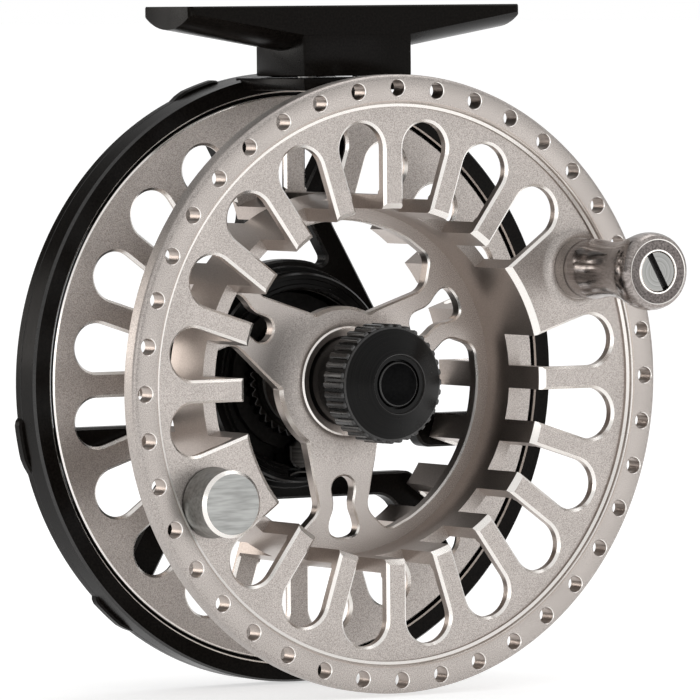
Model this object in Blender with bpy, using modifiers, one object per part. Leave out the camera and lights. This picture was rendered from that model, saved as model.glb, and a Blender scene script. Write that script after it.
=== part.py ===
"""Large-arbor fly reel, built as an assembly of separate solids.

Row frame: metres, +Z up. The origin is the centre of the foot's flat top, where the rod's reel
seat presses. The foot runs along X, the spool turns about an axis along Y, and the handle side
faces -Y. Everything that turns is modelled in the axis frame of an empty on the spool's axis:
local x is the row's X, local y is up, and local z points out of the handle side, so a place
behind the spool's front face is given as a depth, and local z is minus that depth.
"""

import bmesh
import bpy
from math import acos, atan2, cos, degrees, pi, radians, sin, sqrt
from mathutils import Matrix, Vector

MM = 0.001
GAP = 0.3                    # clearance kept between neighbouring solids

# ---------------------------------------------------------------- driving dimensions (mm)
AXIS_DROP = 63.6             # spool axis below the top of the foot
FOOT_MID_DEPTH = 20.05       # middle of the foot behind the spool's front face

SPOOL_R = 52.0               # front flange
RIM_INNER_R = 46.9           # raised band of the front flange
RIM_STEP = 1.35              # how far the spokes lie behind the band
FRONT_FLANGE_BACK = 3.5
REAR_FLANGE_R = 48.3
REAR_FLANGE_FRONT = 32.5
REAR_FLANGE_BACK = 33.8
ARBOR_R = 31.85              # line sits on this radius
ARBOR_BORE_R = 29.5
FRONT_SLOT_FLOOR = 11.4
REAR_SLOT_FLOOR = 22.0
SPIDER_FRONT = 18.0
SPIDER_BACK = 20.5
SPIDER_RING_R = 27.2         # inside of the ring that carries the three arms
SLOT_COUNT = 20
SLOT_PITCH = 360 / SLOT_COUNT
SLOT_END_R = 44.4
SPOKE_HALF_WIDTH = 1.92
REAR_SPOKE_HALF_WIDTH = 2.15
RIM_HOLE_COUNT = 40
RIM_HOLE_CIRCLE_R = 49.75
RIM_HOLE_R = 1.38
ARM_ANGLES = (30, 150, 270)
HUB_R = 12.6
LIP_R = 10.4
LIP_DEPTH = 14.0
BOSS_R = 8.6
BOSS_BACK = 29.6
HUB_BORE_R = 5.2

DRIVE_PIN_R = 6.9
DRIVE_PIN_ANGLES = (90, 210, 330)

HANDLE_R = 40.95             # handle and counterweight sit in two filled slots
HANDLE_ANGLE = 27
HANDLE_END = -23.5
WEIGHT_R = 40.6
WEIGHT_ANGLE = 207
WEIGHT_RADIUS = 5.63
WEIGHT_FRONT = -5.0

RING_R = 52.15               # frame ring
RING_BORE_R = 49.0
RING_FRONT = 33.0
PLATE_FRONT = 35.0
FRAME_BACK = 38.8
SIDE_OFFSET = 20.9           # straight sides of the back plate, from the axis
WINDOW_OFFSET = 17.0
LEG_ANGLE = 18               # each corner of the plate splits into two legs this far apart
LEG_HALF_WIDTH = 2.9
CORNER_ANGLES = (90, 210, 330)

FOOT_HALF_LENGTH = 33.0
FOOT_HALF_WIDTH = 7.75
FOOT_END_THICKNESS = 3.9
FOOT_ROOT_THICKNESS = 7.6
FOOT_UNDERSIDE_R = 12.5
STAND_HALF_WIDTH = 10.7
STAND_SEAT_R = 51.7          # height of the joint between stand and frame above the axis
BRIDGE_R = 49.3              # underside of the frame's bridge, above the axis
FOOT_SCREW_X = (-5.5, 5.5)

SPINDLE_R = 3.0
SPINDLE_STUB_R = 4.0         # behind the spindle's flange
HOUSING_R = 18.0
HOUSING_BORE_R = 15.1
HOUSING_FRONT = 31.0
HOUSING_NECK_R = 16.7
HOUSING_FLOOR = 40.6
HOUSING_BACK = 43.0
WHEEL_R = 10.2               # ratchet wheel
WHEEL_TEETH = 36
WHEEL_FRONT = 31.2
WHEEL_BACK = 33.4
THRUST_R = 11.0              # circle of the three thrust pins
KNOB_R = 15.5
KNOB_FRONT = 43.4
KNOB_BACK = 53.0
KNURL_R = 10.1               # spool cap
KNURL_RIBS = 36

ROUND_STEPS = 48
SMALL_STEPS = 18

# ---------------------------------------------------------------- scene, collections, materials
for stale in list(bpy.data.objects):
    bpy.data.objects.remove(stale, do_unlink=True)

parts = bpy.data.collections.new("fly_reel")
cutters = bpy.data.collections.new("cutters")
bpy.context.scene.collection.children.link(parts)
bpy.context.scene.collection.children.link(cutters)


def finish(name, colour, roughness, metallic):
    """A plain Principled material."""
    material = bpy.data.materials.new(name)
    material.use_nodes = True
    shader = material.node_tree.nodes["Principled BSDF"]
    shader.inputs["Base Color"].default_value = (*colour, 1)
    shader.inputs["Roughness"].default_value = roughness
    shader.inputs["Metallic"].default_value = metallic
    return material


BLASTED = finish("blasted_aluminium", (0.53, 0.48, 0.44), 0.42, 1.0)
BLACK_ANODISED = finish("black_anodised", (0.012, 0.011, 0.010), 0.25, 0.6)
POLISHED = finish("polished_handle", (0.36, 0.30, 0.26), 0.2, 1.0)
BRUSHED = finish("brushed_steel", (0.45, 0.46, 0.45), 0.3, 1.0)
STAINLESS = finish("stainless_steel", (0.56, 0.55, 0.53), 0.25, 1.0)
BRONZE = finish("bearing_bronze", (0.48, 0.30, 0.12), 0.35, 1.0)
CORK = finish("rubberised_cork", (0.30, 0.17, 0.08), 0.85, 0.0)
ACETAL = finish("acetal", (0.02, 0.02, 0.022), 0.45, 0.0)


# ---------------------------------------------------------------- frames to model in
def empty(name, location, rotation=(0, 0, 0), parent=None):
    """A guide object that carries the pieces of one axis."""
    guide = bpy.data.objects.new(name, None)
    guide.location = location
    guide.rotation_euler = rotation
    guide.parent = parent
    parts.objects.link(guide)
    return guide


spool_axis = empty("spool_axis", (0, -FOOT_MID_DEPTH * MM, -AXIS_DROP * MM), (pi / 2, 0, 0))


def polar(radius, degrees):
    """Point of the axis frame's xy plane, in mm."""
    return radius * cos(radians(degrees)), radius * sin(radians(degrees))


# ---------------------------------------------------------------- shapes
def link(obj, material, parent, is_cutter=False):
    """Put an object in its collection, under its axis."""
    (cutters if is_cutter else parts).objects.link(obj)
    obj.parent = parent
    if material:
        obj.data.materials.append(material)
    if is_cutter:
        obj.hide_render = True
        obj.display_type = "WIRE"
    return obj


def turned(name, profile, material=None, steps=SMALL_STEPS, centre=(0, 0), parent=None, cutter=False):
    """A turned piece. The profile's (radius, depth) points run down the outer side, front to back,
    and a ring's profile comes back up its bore."""
    mesh = bpy.data.meshes.new(name)
    points = [(radius * MM, 0, -depth * MM) for radius, depth in profile]
    edges = [(i, i + 1) for i in range(len(points) - 1)]
    if profile[0][0] > 0:
        edges.append((len(points) - 1, 0))
    mesh.from_pydata(points, edges, [])
    obj = link(bpy.data.objects.new(name, mesh), material, parent or spool_axis, cutter)
    obj.location = (centre[0] * MM, centre[1] * MM, 0)
    screw = obj.modifiers.new("turn", "SCREW")
    screw.steps = steps
    screw.render_steps = steps
    screw.use_merge_vertices = True
    screw.merge_threshold = 0.000001
    screw.use_smooth_shade = False
    return obj


def plate(name, loops, front, back, material=None, parent=None, cutter=False):
    """A flat piece: closed outlines of (x, y) points, filled even-odd, between two depths."""
    curve = bpy.data.curves.new(name, "CURVE")
    curve.dimensions = "2D"
    curve.fill_mode = "BOTH"
    curve.extrude = abs(back - front) / 2 * MM
    for loop in loops:
        spline = curve.splines.new("POLY")
        spline.points.add(len(loop) - 1)
        for point, (x, y) in zip(spline.points, loop):
            point.co = (x * MM, y * MM, 0, 1)
        spline.use_cyclic_u = True
    flat = bpy.data.objects.new(name + "_outline", curve)
    cutters.objects.link(flat)
    mesh = bpy.data.meshes.new_from_object(flat.evaluated_get(bpy.context.evaluated_depsgraph_get()))
    bpy.data.objects.remove(flat, do_unlink=True)
    mesh.name = name
    weld(mesh)
    mesh.transform(Matrix.Translation((0, 0, -(front + back) / 2 * MM)))
    return link(bpy.data.objects.new(name, mesh), material, parent or spool_axis, cutter)


def weld(mesh):
    """Close the loose caps of a converted curve and point its faces out."""
    bm = bmesh.new()
    bm.from_mesh(mesh)
    bmesh.ops.remove_doubles(bm, verts=bm.verts, dist=0.000001)
    bmesh.ops.recalc_face_normals(bm, faces=bm.faces)
    bm.to_mesh(mesh)
    bm.free()


def block(name, low, high, material=None, parent=None, cutter=False):
    """A box between two corners (mm), from a cube primitive."""
    mesh = bpy.data.meshes.new(name)
    bm = bmesh.new()
    size = [(b - a) * MM for a, b in zip(low, high)]
    middle = [(a + b) / 2 * MM for a, b in zip(low, high)]
    bmesh.ops.create_cube(bm, size=1, matrix=Matrix.Translation(middle) @ Matrix.Diagonal((*size, 1)))
    bm.to_mesh(mesh)
    bm.free()
    return link(bpy.data.objects.new(name, mesh), material, parent, cutter)


def axis_block(name, x, y, depth, material=None, cutter=False):
    """A box of the axis frame, from its x, y and depth ranges."""
    return block(name, (x[0], y[0], -depth[1]), (x[1], y[1], -depth[0]), material, spool_axis, cutter)


def combine(obj, other, operation="DIFFERENCE"):
    """Cut obj with other, or join other to it, and turn other into a guide."""
    if other.name not in cutters.objects:
        parts.objects.unlink(other)
        cutters.objects.link(other)
        other.hide_render = True
        other.display_type = "WIRE"
    modifier = obj.modifiers.new(operation.lower(), "BOOLEAN")
    modifier.operation = operation
    modifier.object = other
    return obj


# ---------------------------------------------------------------- outlines
def circle(centre, radius, count):
    """A circle's points, half a step round from the x axis, clear of a turned piece's corners."""
    angles = [2 * pi * (i + 0.5) / count for i in range(count)]
    return [(centre[0] + radius * cos(a), centre[1] + radius * sin(a)) for a in angles]


def arc(centre, radius, start, end, count):
    """Points along an arc, both ends included, in degrees."""
    angles = [start + (end - start) * i / count for i in range(count + 1)]
    return [(centre[0] + radius * cos(radians(a)), centre[1] + radius * sin(radians(a))) for a in angles]


def turn(points, degrees):
    """The points turned about the axis."""
    c, s = cos(radians(degrees)), sin(radians(degrees))
    return [(x * c - y * s, x * s + y * c) for x, y in points]


def filleted(corners, count=4):
    """A polygon of (x, y, radius) corners, each rounded by an arc."""
    outline = []
    for i, (x, y, radius) in enumerate(corners):
        here = Vector((x, y))
        before = Vector(corners[i - 1][:2]) - here
        after = Vector(corners[(i + 1) % len(corners)][:2]) - here
        if radius == 0:
            outline.append((x, y))
            continue
        before.normalize()
        after.normalize()
        half = acos(max(-1, min(1, before.dot(after)))) / 2
        inward = (before + after).normalized()
        centre = here + inward * (radius / sin(half))
        first = centre + (before * (radius / sin(half) * cos(half)) - inward * (radius / sin(half)))
        last = centre + (after * (radius / sin(half) * cos(half)) - inward * (radius / sin(half)))
        start = atan2(first.y - centre.y, first.x - centre.x)
        sweep = atan2(last.y - centre.y, last.x - centre.x) - start
        sweep = (sweep + pi) % (2 * pi) - pi
        for j in range(count + 1):
            angle = start + sweep * j / count
            outline.append((centre.x + radius * cos(angle), centre.y + radius * sin(angle)))
    return outline


def slot_outline(half_width, inner_r, count=6):
    """The gap between two parallel-sided spokes, closed by an arc that touches both."""
    half_pitch = radians(SLOT_PITCH / 2)
    end_centre = (SLOT_END_R + half_width) / (1 + sin(half_pitch))
    end_radius = SLOT_END_R - end_centre
    mouth = (inner_r * sin(half_pitch) - half_width) / cos(half_pitch)
    reach = 90 + SLOT_PITCH / 2
    return [(inner_r, -mouth)] + arc((end_centre, 0), end_radius, -reach, reach, count) + [(inner_r, mouth)]


# ---------------------------------------------------------------- spool
def make_spool():
    """One machined piece: rimmed front flange, slotted arbor, three-armed spider, rear flange."""
    profile = [
        (RIM_INNER_R, 0),
        (SPOOL_R - 0.5, 0),
        (SPOOL_R, 0.5),
        (SPOOL_R, FRONT_FLANGE_BACK - 0.4),
        (SPOOL_R - 0.4, FRONT_FLANGE_BACK),
        (ARBOR_R, FRONT_FLANGE_BACK),
        (ARBOR_R, REAR_FLANGE_FRONT),
        (REAR_FLANGE_R, REAR_FLANGE_FRONT),
        (REAR_FLANGE_R, REAR_FLANGE_BACK),
        (ARBOR_BORE_R, REAR_FLANGE_BACK),
        (ARBOR_BORE_R, SPIDER_BACK),
        (BOSS_R, SPIDER_BACK),
        (BOSS_R, BOSS_BACK),
        (HUB_BORE_R, BOSS_BACK),
        (HUB_BORE_R, LIP_DEPTH + 1.2),
        (LIP_R - 1.2, LIP_DEPTH + 1.2),
        (LIP_R - 1.2, LIP_DEPTH),
        (LIP_R, LIP_DEPTH),
    ]
    dish = 5
    for i in range(1, dish):
        sweep = radians(90 * i / dish)
        profile.append(
            (
                HUB_R - (HUB_R - LIP_R) * cos(sweep),
                SPIDER_FRONT - (SPIDER_FRONT - LIP_DEPTH) * (1 - sin(sweep)),
            )
        )
    profile += [
        (HUB_R, SPIDER_FRONT),
        (ARBOR_BORE_R, SPIDER_FRONT),
        (ARBOR_BORE_R, RIM_STEP),
        (RIM_INNER_R, RIM_STEP),
    ]
    spool = turned("spool", profile, BLASTED, ROUND_STEPS)

    filled = (HANDLE_ANGLE, WEIGHT_ANGLE)
    angles = [SLOT_PITCH * (i + 0.5) for i in range(SLOT_COUNT)]
    front = [turn(slot_outline(SPOKE_HALF_WIDTH, 27.0), a) for a in angles if a not in filled]
    rear = [turn(slot_outline(REAR_SPOKE_HALF_WIDTH, 27.0), a) for a in angles]
    combine(spool, plate("front_slots", front, -1, FRONT_SLOT_FLOOR, cutter=True))
    combine(spool, plate("rear_slots", rear, REAR_SLOT_FLOOR, REAR_FLANGE_BACK + 1, cutter=True))

    holes = [
        circle(polar(RIM_HOLE_CIRCLE_R, 360 / RIM_HOLE_COUNT * i), RIM_HOLE_R, 8)
        for i in range(RIM_HOLE_COUNT)
    ]
    combine(spool, plate("rim_holes", holes, -1, FRONT_FLANGE_BACK + 1, cutter=True))

    openings = []
    for angle in ARM_ANGLES:
        openings.append(turn(arm_gap(), angle + 60))
        openings.append(turn(arm_window(), angle))
    combine(spool, plate("spider_openings", openings, SPIDER_FRONT - 1, SPIDER_BACK + 1, cutter=True))

    sockets = [circle(polar(DRIVE_PIN_R, a), 1.3, 12) for a in DRIVE_PIN_ANGLES]
    combine(spool, plate("drive_sockets", sockets, 26.8, BOSS_BACK + 1, cutter=True))

    for radius, angle, bore, head in ((HANDLE_R, HANDLE_ANGLE, 2.5, 3.9), (WEIGHT_R, WEIGHT_ANGLE, 1.7, 2.8)):
        centre = polar(radius, angle)
        combine(spool, plate("post_hole", [circle(centre, bore, 16)], -1, 5, cutter=True))
        combine(spool, plate("head_recess", [circle(centre, head, 20)], 2.5, 5, cutter=True))
    return spool


def arm_gap():
    """The space between two arms, centred on local +x: ring arc outside, hub arc inside."""
    ring_arc = arc((0, 0), SPIDER_RING_R, -41, 41, 14)
    upper = [(*turn([(22.0, -4.75)], 60)[0], 3.0), (*turn([(HUB_R + 0.4, -6.9)], 60)[0], 2.0)]
    lower = [(x, -y, r) for x, y, r in reversed(upper)]
    hub_arc = [(*point, 0) for point in arc((0, 0), HUB_R + 0.8, 24, -24, 5)]
    corners = [(*ring_arc[0], 2.6)]
    corners += [(*point, 0) for point in ring_arc[2:-2]]
    corners += [(*ring_arc[-1], 2.6)]
    return filleted(corners + upper + hub_arc + lower)


def arm_window():
    """Keyhole window along an arm: round inner end, slim neck, wide outer end."""
    upper = [(16.3, 1.1), (17.2, 2.1), (18.4, 2.25), (20.5, 1.95), (22.0, 2.0)]
    upper += [(23.4, 2.6), (24.8, 2.9), (26.0, 2.5), (26.7, 1.3)]
    return upper + [(x, -y) for x, y in reversed(upper)]


def make_spool_fittings():
    """Bushes, counterweight and the handle's fixed post."""
    for name, front, back in (("front_bush", 15.4, 19.6), ("rear_bush", 23.6, 29.2)):
        turned(name, [(HUB_BORE_R - GAP, front), (HUB_BORE_R - GAP, back), (3.3, back), (3.3, front)], BRONZE)

    weight_at = polar(WEIGHT_R, WEIGHT_ANGLE)
    seat = RIM_STEP - GAP
    turned(
        "counterweight",
        [
            (0, WEIGHT_FRONT),
            (WEIGHT_RADIUS - 0.5, WEIGHT_FRONT),
            (WEIGHT_RADIUS, WEIGHT_FRONT + 0.5),
            (WEIGHT_RADIUS, seat - 1.6),
            (WEIGHT_RADIUS + 0.1, seat - 0.5),
            (WEIGHT_RADIUS + 0.3, seat),
            (1.7, seat),
            (1.7, -2.5),
            (0, -2.5),
        ],
        BRUSHED,
        24,
        weight_at,
    )
    rivet = [(0, -2.1), (1.4, -2.1), (1.4, 2.8), (2.5, 2.8), (2.5, 3.5), (0, 3.5)]
    turned("counterweight_rivet", rivet, STAINLESS, 12, weight_at)

    handle_at = polar(HANDLE_R, HANDLE_ANGLE)
    post = [(0, -12), (1.3, -12), (1.3, -20.4), (2.2, -20.4), (2.2, -1.2), (5.0, -1.2), (5.6, seat)]
    post += [(2.2, seat), (2.2, 2.8), (3.6, 2.8), (3.6, 3.5), (0, 3.5)]
    turned("handle_post", post, STAINLESS, SMALL_STEPS, handle_at)
    screw = [(0, HANDLE_END + 0.3), (3.2, HANDLE_END + 0.3), (3.2, -21.6), (1.0, -21.6), (1.0, -13.5), (0, -13.5)]
    turned("handle_screw", screw, STAINLESS, SMALL_STEPS, handle_at)
    slot = plate("screw_slot", [screw_slot(handle_at, 0.45)], HANDLE_END - 1, HANDLE_END + 1.1, cutter=True)
    combine(bpy.data.objects["handle_screw"], slot)


def screw_slot(centre, half_width, angle=-45, reach=5):
    """Outline of a screwdriver slot across a head."""
    corners = [(-reach, -half_width), (reach, -half_width), (reach, half_width), (-reach, half_width)]
    return [(centre[0] + x, centre[1] + y) for x, y in turn(corners, angle)]


def make_handle():
    """The knob that turns on the post, over a thin washer."""
    handle_at = polar(HANDLE_R, HANDLE_ANGLE)
    axis = empty("handle_axis", (handle_at[0] * MM, handle_at[1] * MM, 0), parent=spool_axis)
    end = HANDLE_END
    profile = [(3.6, end), (5.1, end), (6.1, end + 0.6), (6.55, end + 1.7), (6.5, end + 3.4)]
    profile += [(6.0, end + 5.4), (5.2, end + 8.4), (4.75, end + 11.6), (4.7, end + 14.4)]
    profile += [(5.0, end + 17.0), (5.1, end + 19.0), (4.9, -2.5), (2.5, -2.5), (2.5, -21.2), (3.6, -21.2)]
    turned("handle_knob", profile, POLISHED, 20, parent=axis)
    turned("handle_washer", [(2.5, -2.2), (4.8, -2.2), (4.8, -1.5), (2.5, -1.5)], ACETAL, SMALL_STEPS, parent=axis)


def make_spool_cap():
    """Knurled screw cap that holds the spool on the spindle, with its centre button."""
    bore = 3.3
    profile = [(0, 1.7), (4.2, 1.7), (4.2, 0.6), (4.9, 0.6), (5.1, 0.0), (5.3, 0.0), (9.6, 2.4)]
    profile += [(9.6, 8.6), (8.8, 8.8), (8.8, 14.2), (bore, 14.2), (bore, 2.5), (0, 2.5)]
    cap = turned("spool_cap", profile, BLACK_ANODISED, 24)
    teeth = [polar(KNURL_R if i % 2 else KNURL_R - 0.6, 180 / KNURL_RIBS * i) for i in range(2 * KNURL_RIBS)]
    combine(cap, plate("knurl", [teeth, circle((0, 0), 9.2, 24)], 2.7, 8.4), "UNION")
    button = [(0, 0.4), (3.6, 0.4), (3.9, 0.7), (3.9, 1.4), (0, 1.4)]
    turned("cap_button", button, ACETAL)
    washer = [(3.4, 14.5), (7.6, 14.5), (7.6, 14.9), (3.4, 14.9)]
    turned("cap_washer", washer, BRONZE)


# ---------------------------------------------------------------- frame
def leg_side(offset, reach):
    """A point on one side of a leg, in the corner's frame (x outwards), where it meets radius reach.
    The leg's middle line passes the ring at LEG_ANGLE and leans out by 30 degrees."""
    middle = polar(RING_BORE_R, LEG_ANGLE)
    along = (cos(radians(30)), sin(radians(30)))
    start = (middle[0] - along[1] * offset, middle[1] + along[0] * offset)
    dot = start[0] * along[0] + start[1] * along[1]
    run = -dot + sqrt(dot * dot - start[0] ** 2 - start[1] ** 2 + reach * reach)
    return (start[0] + along[0] * run, start[1] + along[1] * run), start, along


def meet(start, along, offset):
    """Where the line from start meets the plate's side: x/2 + y*cos(30) = offset."""
    side = (0.5, cos(radians(30)))
    run = (offset - start[0] * side[0] - start[1] * side[1]) / (along[0] * side[0] + along[1] * side[1])
    return start[0] + along[0] * run, start[1] + along[1] * run


def corner_window(reach):
    """The opening between the two legs of a corner, with its narrow waist."""
    rim, start, along = leg_side(-LEG_HALF_WIDTH, reach)
    waist = meet(start, along, WINDOW_OFFSET)
    inner_angle = 60 - degrees(acos(WINDOW_OFFSET / (HOUSING_R + 2.2)))
    inner = polar(HOUSING_R + 2.2, inner_angle)
    half = [(*inner, 1.2), (*waist, 1.5), (*rim, 0.6)]
    rim_angle = degrees(atan2(rim[1], rim[0]))
    rim_arc = [(*p, 0) for p in arc((0, 0), reach, rim_angle, -rim_angle, 10)[1:-1]]
    inner_arc = [(*p, 0) for p in arc((0, 0), HOUSING_R + 2.2, -inner_angle, inner_angle, 6)[1:-1]]
    return filleted(half + rim_arc + [(x, -y, r) for x, y, r in reversed(half)] + inner_arc)


def side_opening(reach):
    """The large opening between two corners, centred on local +x."""
    rim, start, along = leg_side(LEG_HALF_WIDTH, reach)
    root = meet(start, along, SIDE_OFFSET)
    rim, root = turn([rim, root], -60)
    rim_angle = -degrees(atan2(rim[1], rim[0]))
    rim_arc = [(*p, 0) for p in arc((0, 0), reach, -rim_angle, rim_angle, 16)[1:-1]]
    half = [(*root, 3.0), (*rim, 0.6)]
    return filleted(half + rim_arc + [(x, -y, r) for x, y, r in reversed(half)])


def make_frame():
    """Ring, bridge under the foot and three-cornered back plate, machined as one."""
    ring = [(RING_BORE_R + 0.5, RING_FRONT), (RING_R - 0.3, RING_FRONT), (RING_R, RING_FRONT + 0.3)]
    ring += [(RING_R, FRAME_BACK - 0.3), (RING_R - 0.3, FRAME_BACK), (RING_BORE_R, FRAME_BACK)]
    ring += [(RING_BORE_R, RING_FRONT + 0.5)]
    frame = turned("frame", ring, BLACK_ANODISED, ROUND_STEPS)

    inside = RING_BORE_R + 0.9
    loops = [circle((0, 0), RING_BORE_R + 1.8, ROUND_STEPS), circle((0, 0), HOUSING_NECK_R + GAP, 36)]
    for angle in CORNER_ANGLES:
        loops.append(turn(corner_window(inside), angle))
        loops.append(turn(side_opening(inside), angle + 60))
    combine(frame, plate("back_plate", loops, PLATE_FRONT, FRAME_BACK - 0.3), "UNION")

    lugs = []
    for angle in CORNER_ANGLES:
        for side in (-LEG_ANGLE, LEG_ANGLE):
            outer = arc((0, 0), RING_R + 0.8, angle + side - 4, angle + side + 4, 4)
            inner = arc((0, 0), RING_R - 1, angle + side + 4.6, angle + side - 4.6, 4)
            lugs.append(outer + inner)
    combine(frame, plate("rim_lugs", lugs, FRAME_BACK - 1.9, FRAME_BACK - 0.6), "UNION")

    bridge = axis_block(
        "bridge", (-STAND_HALF_WIDTH, STAND_HALF_WIDTH), (BRIDGE_R, STAND_SEAT_R - GAP),
        (FOOT_MID_DEPTH - FOOT_HALF_WIDTH, RING_FRONT + 1.5), BLACK_ANODISED,
    )
    combine(frame, bridge, "UNION")
    for x in FOOT_SCREW_X:
        seat = BRIDGE_R + 1.2
        combine(frame, upright("screw_hole", x, [(1.8, 60), (1.8, seat), (2.8, seat), (2.8, 40)], True))
    return frame


def upright(name, x, outer, cutter=False, material=None, steps=14):
    """A piece turned about a vertical axis under the foot; heights count from the spool axis."""
    mesh = bpy.data.meshes.new(name)
    profile = [(0, outer[0][1])] + list(outer) + [(0, outer[-1][1])]
    points = [(radius * MM, 0, (height - AXIS_DROP) * MM) for radius, height in profile]
    mesh.from_pydata(points, [(i, i + 1) for i in range(len(points) - 1)], [])
    obj = link(bpy.data.objects.new(name, mesh), material, None, cutter)
    obj.location = (x * MM, 0, 0)
    screw = obj.modifiers.new("turn", "SCREW")
    screw.steps = steps
    screw.render_steps = steps
    screw.use_merge_vertices = True
    screw.merge_threshold = 0.000001
    screw.use_smooth_shade = False
    return obj


def foot_section(ridge, x, count=12):
    """Section of the foot at x: flat top, arched underside that is ridge deep in the middle."""
    points = []
    for i in range(count + 1):
        y = FOOT_HALF_WIDTH * (1 - 2 * i / count)
        rise = FOOT_UNDERSIDE_R - sqrt(FOOT_UNDERSIDE_R ** 2 - y * y)
        points.append((x * MM, y * MM, (rise - ridge) * MM))
    points.append((x * MM, -FOOT_HALF_WIDTH * MM, 0))
    points.append((x * MM, FOOT_HALF_WIDTH * MM, 0))
    return points


def make_foot():
    """Reel foot and stand in one: a lofted foot with an arched underside, and a square stand."""
    bm = bmesh.new()
    stations = [(-FOOT_HALF_LENGTH, FOOT_END_THICKNESS), (-STAND_HALF_WIDTH, FOOT_ROOT_THICKNESS)]
    stations += [(-x, ridge) for x, ridge in reversed(stations)]
    sections = [[bm.verts.new(p) for p in foot_section(ridge, x)] for x, ridge in stations]
    for near, far in zip(sections, sections[1:]):
        for i in range(len(near)):
            j = (i + 1) % len(near)
            bm.faces.new((near[i], near[j], far[j], far[i]))
    bm.faces.new(sections[0])
    bm.faces.new(sections[-1])
    bmesh.ops.recalc_face_normals(bm, faces=bm.faces)
    mesh = bpy.data.meshes.new("reel_foot")
    bm.to_mesh(mesh)
    bm.free()
    foot = link(bpy.data.objects.new("reel_foot", mesh), BLACK_ANODISED, None)
    stand_low = (-STAND_HALF_WIDTH, -FOOT_HALF_WIDTH + 0.01, STAND_SEAT_R - AXIS_DROP)
    stand_high = (STAND_HALF_WIDTH, FOOT_HALF_WIDTH - 0.01, -2.0)
    combine(foot, block("stand", stand_low, stand_high, BLACK_ANODISED), "UNION")
    for x in FOOT_SCREW_X:
        combine(foot, upright("thread", x, [(1.8, 59), (1.8, 45)], True))
        outer = [(1.5, 58), (1.5, BRIDGE_R + 0.9), (2.5, BRIDGE_R + 0.9), (2.5, BRIDGE_R + 0.1)]
        upright("foot_screw_left" if x < 0 else "foot_screw_right", x, outer, material=STAINLESS)


# ---------------------------------------------------------------- drag and click
def make_housing():
    """Cup that carries the spindle and the drag, let into the back plate."""
    profile = [(HOUSING_BORE_R + 0.5, HOUSING_FRONT), (16.2, HOUSING_FRONT), (16.5, HOUSING_FRONT + 0.5)]
    profile += [(16.8, HOUSING_FRONT + 0.5), (17.1, HOUSING_FRONT), (HOUSING_R - 0.4, HOUSING_FRONT)]
    profile += [(HOUSING_R, HOUSING_FRONT + 0.4), (HOUSING_R, 34.2), (18.9, 34.7)]
    profile += [(HOUSING_NECK_R, 34.7), (HOUSING_NECK_R, HOUSING_BACK), (SPINDLE_STUB_R + GAP, HOUSING_BACK)]
    profile += [(SPINDLE_STUB_R + GAP, HOUSING_FLOOR), (HOUSING_BORE_R, HOUSING_FLOOR)]
    profile += [(HOUSING_BORE_R, HOUSING_FRONT + 0.5)]
    housing = turned("drag_housing", profile, BLACK_ANODISED, 32)
    shelf = axis_block("pawl_shelf", (-3.6, 3.6), (-15.6, -12.9), (33.7, 34.7), BLACK_ANODISED)
    combine(housing, shelf, "UNION")
    combine(housing, axis_block("pawl_pocket", (-2.65, 2.65), (-16.9, -14.4), (30, 33.7), cutter=True))
    holes = [circle(polar(THRUST_R, a), 1.5, 14) for a in CORNER_ANGLES]
    combine(housing, plate("thrust_holes", holes, HOUSING_FLOOR - 1, HOUSING_BACK + 1, cutter=True))
    return housing


def make_spindle():
    """Fixed steel spindle, its clamping nut behind the housing floor, and the knob's screw."""
    flange_front, flange_back, end = 37.0, 40.3, 49.5
    profile = [(0, 2.8), (SPINDLE_R - 0.5, 2.8), (SPINDLE_R, 3.3), (SPINDLE_R, flange_front)]
    profile += [(6.8, flange_front), (6.8, flange_back), (SPINDLE_STUB_R, flange_back)]
    profile += [(SPINDLE_STUB_R, end), (1.9, end), (1.9, 43.0), (0, 43.0)]
    turned("spindle", profile, STAINLESS)
    nut = [circle((0, 0), 6.6, 6), circle((0, 0), SPINDLE_STUB_R + GAP, 24)]
    plate("spindle_nut", nut, HOUSING_BACK + GAP, 46.0, STAINLESS)
    screw = [(0, 43.6), (1.6, 43.6), (1.6, 51.6), (4.2, 51.6), (4.2, 52.8), (0, 52.8)]
    turned("knob_screw", screw, STAINLESS)
    combine(
        bpy.data.objects["knob_screw"],
        plate("knob_screw_slot", [screw_slot((0, 0), 0.45, 20)], 52.0, 54, cutter=True),
    )


def make_drag():
    """Friction and spring washers between the ratchet wheel and the thrust pins."""
    turned("friction_washer", [(8.0, 33.7), (12.4, 33.7), (12.4, 34.9), (8.0, 34.9)], CORK, 24)
    turned("pressure_disc", [(8.0, 35.2), (14.6, 35.2), (14.6, 36.0), (8.0, 36.0)], STAINLESS, 24)
    front_spring = [(8.0, 36.7), (13.4, 36.3), (13.4, 36.9), (8.0, 37.3)]
    rear_spring = [(8.0, 37.7), (13.4, 38.1), (13.4, 38.7), (8.0, 38.3)]
    turned("spring_washer_front", front_spring, STAINLESS, 24)
    turned("spring_washer_rear", rear_spring, STAINLESS, 24)
    for name, angle in zip(("top", "left", "right"), CORNER_ANGLES):
        pin = [(0, 39.8), (1.2, 39.8), (1.2, 44.6), (0, 44.6)]
        turned("thrust_pin_" + name, pin, STAINLESS, 10, polar(THRUST_R, angle))
    turned("thrust_ring", [(8.6, 44.9), (13.4, 44.9), (13.4, 47.4), (8.6, 47.4)], BRONZE, 24)


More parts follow.
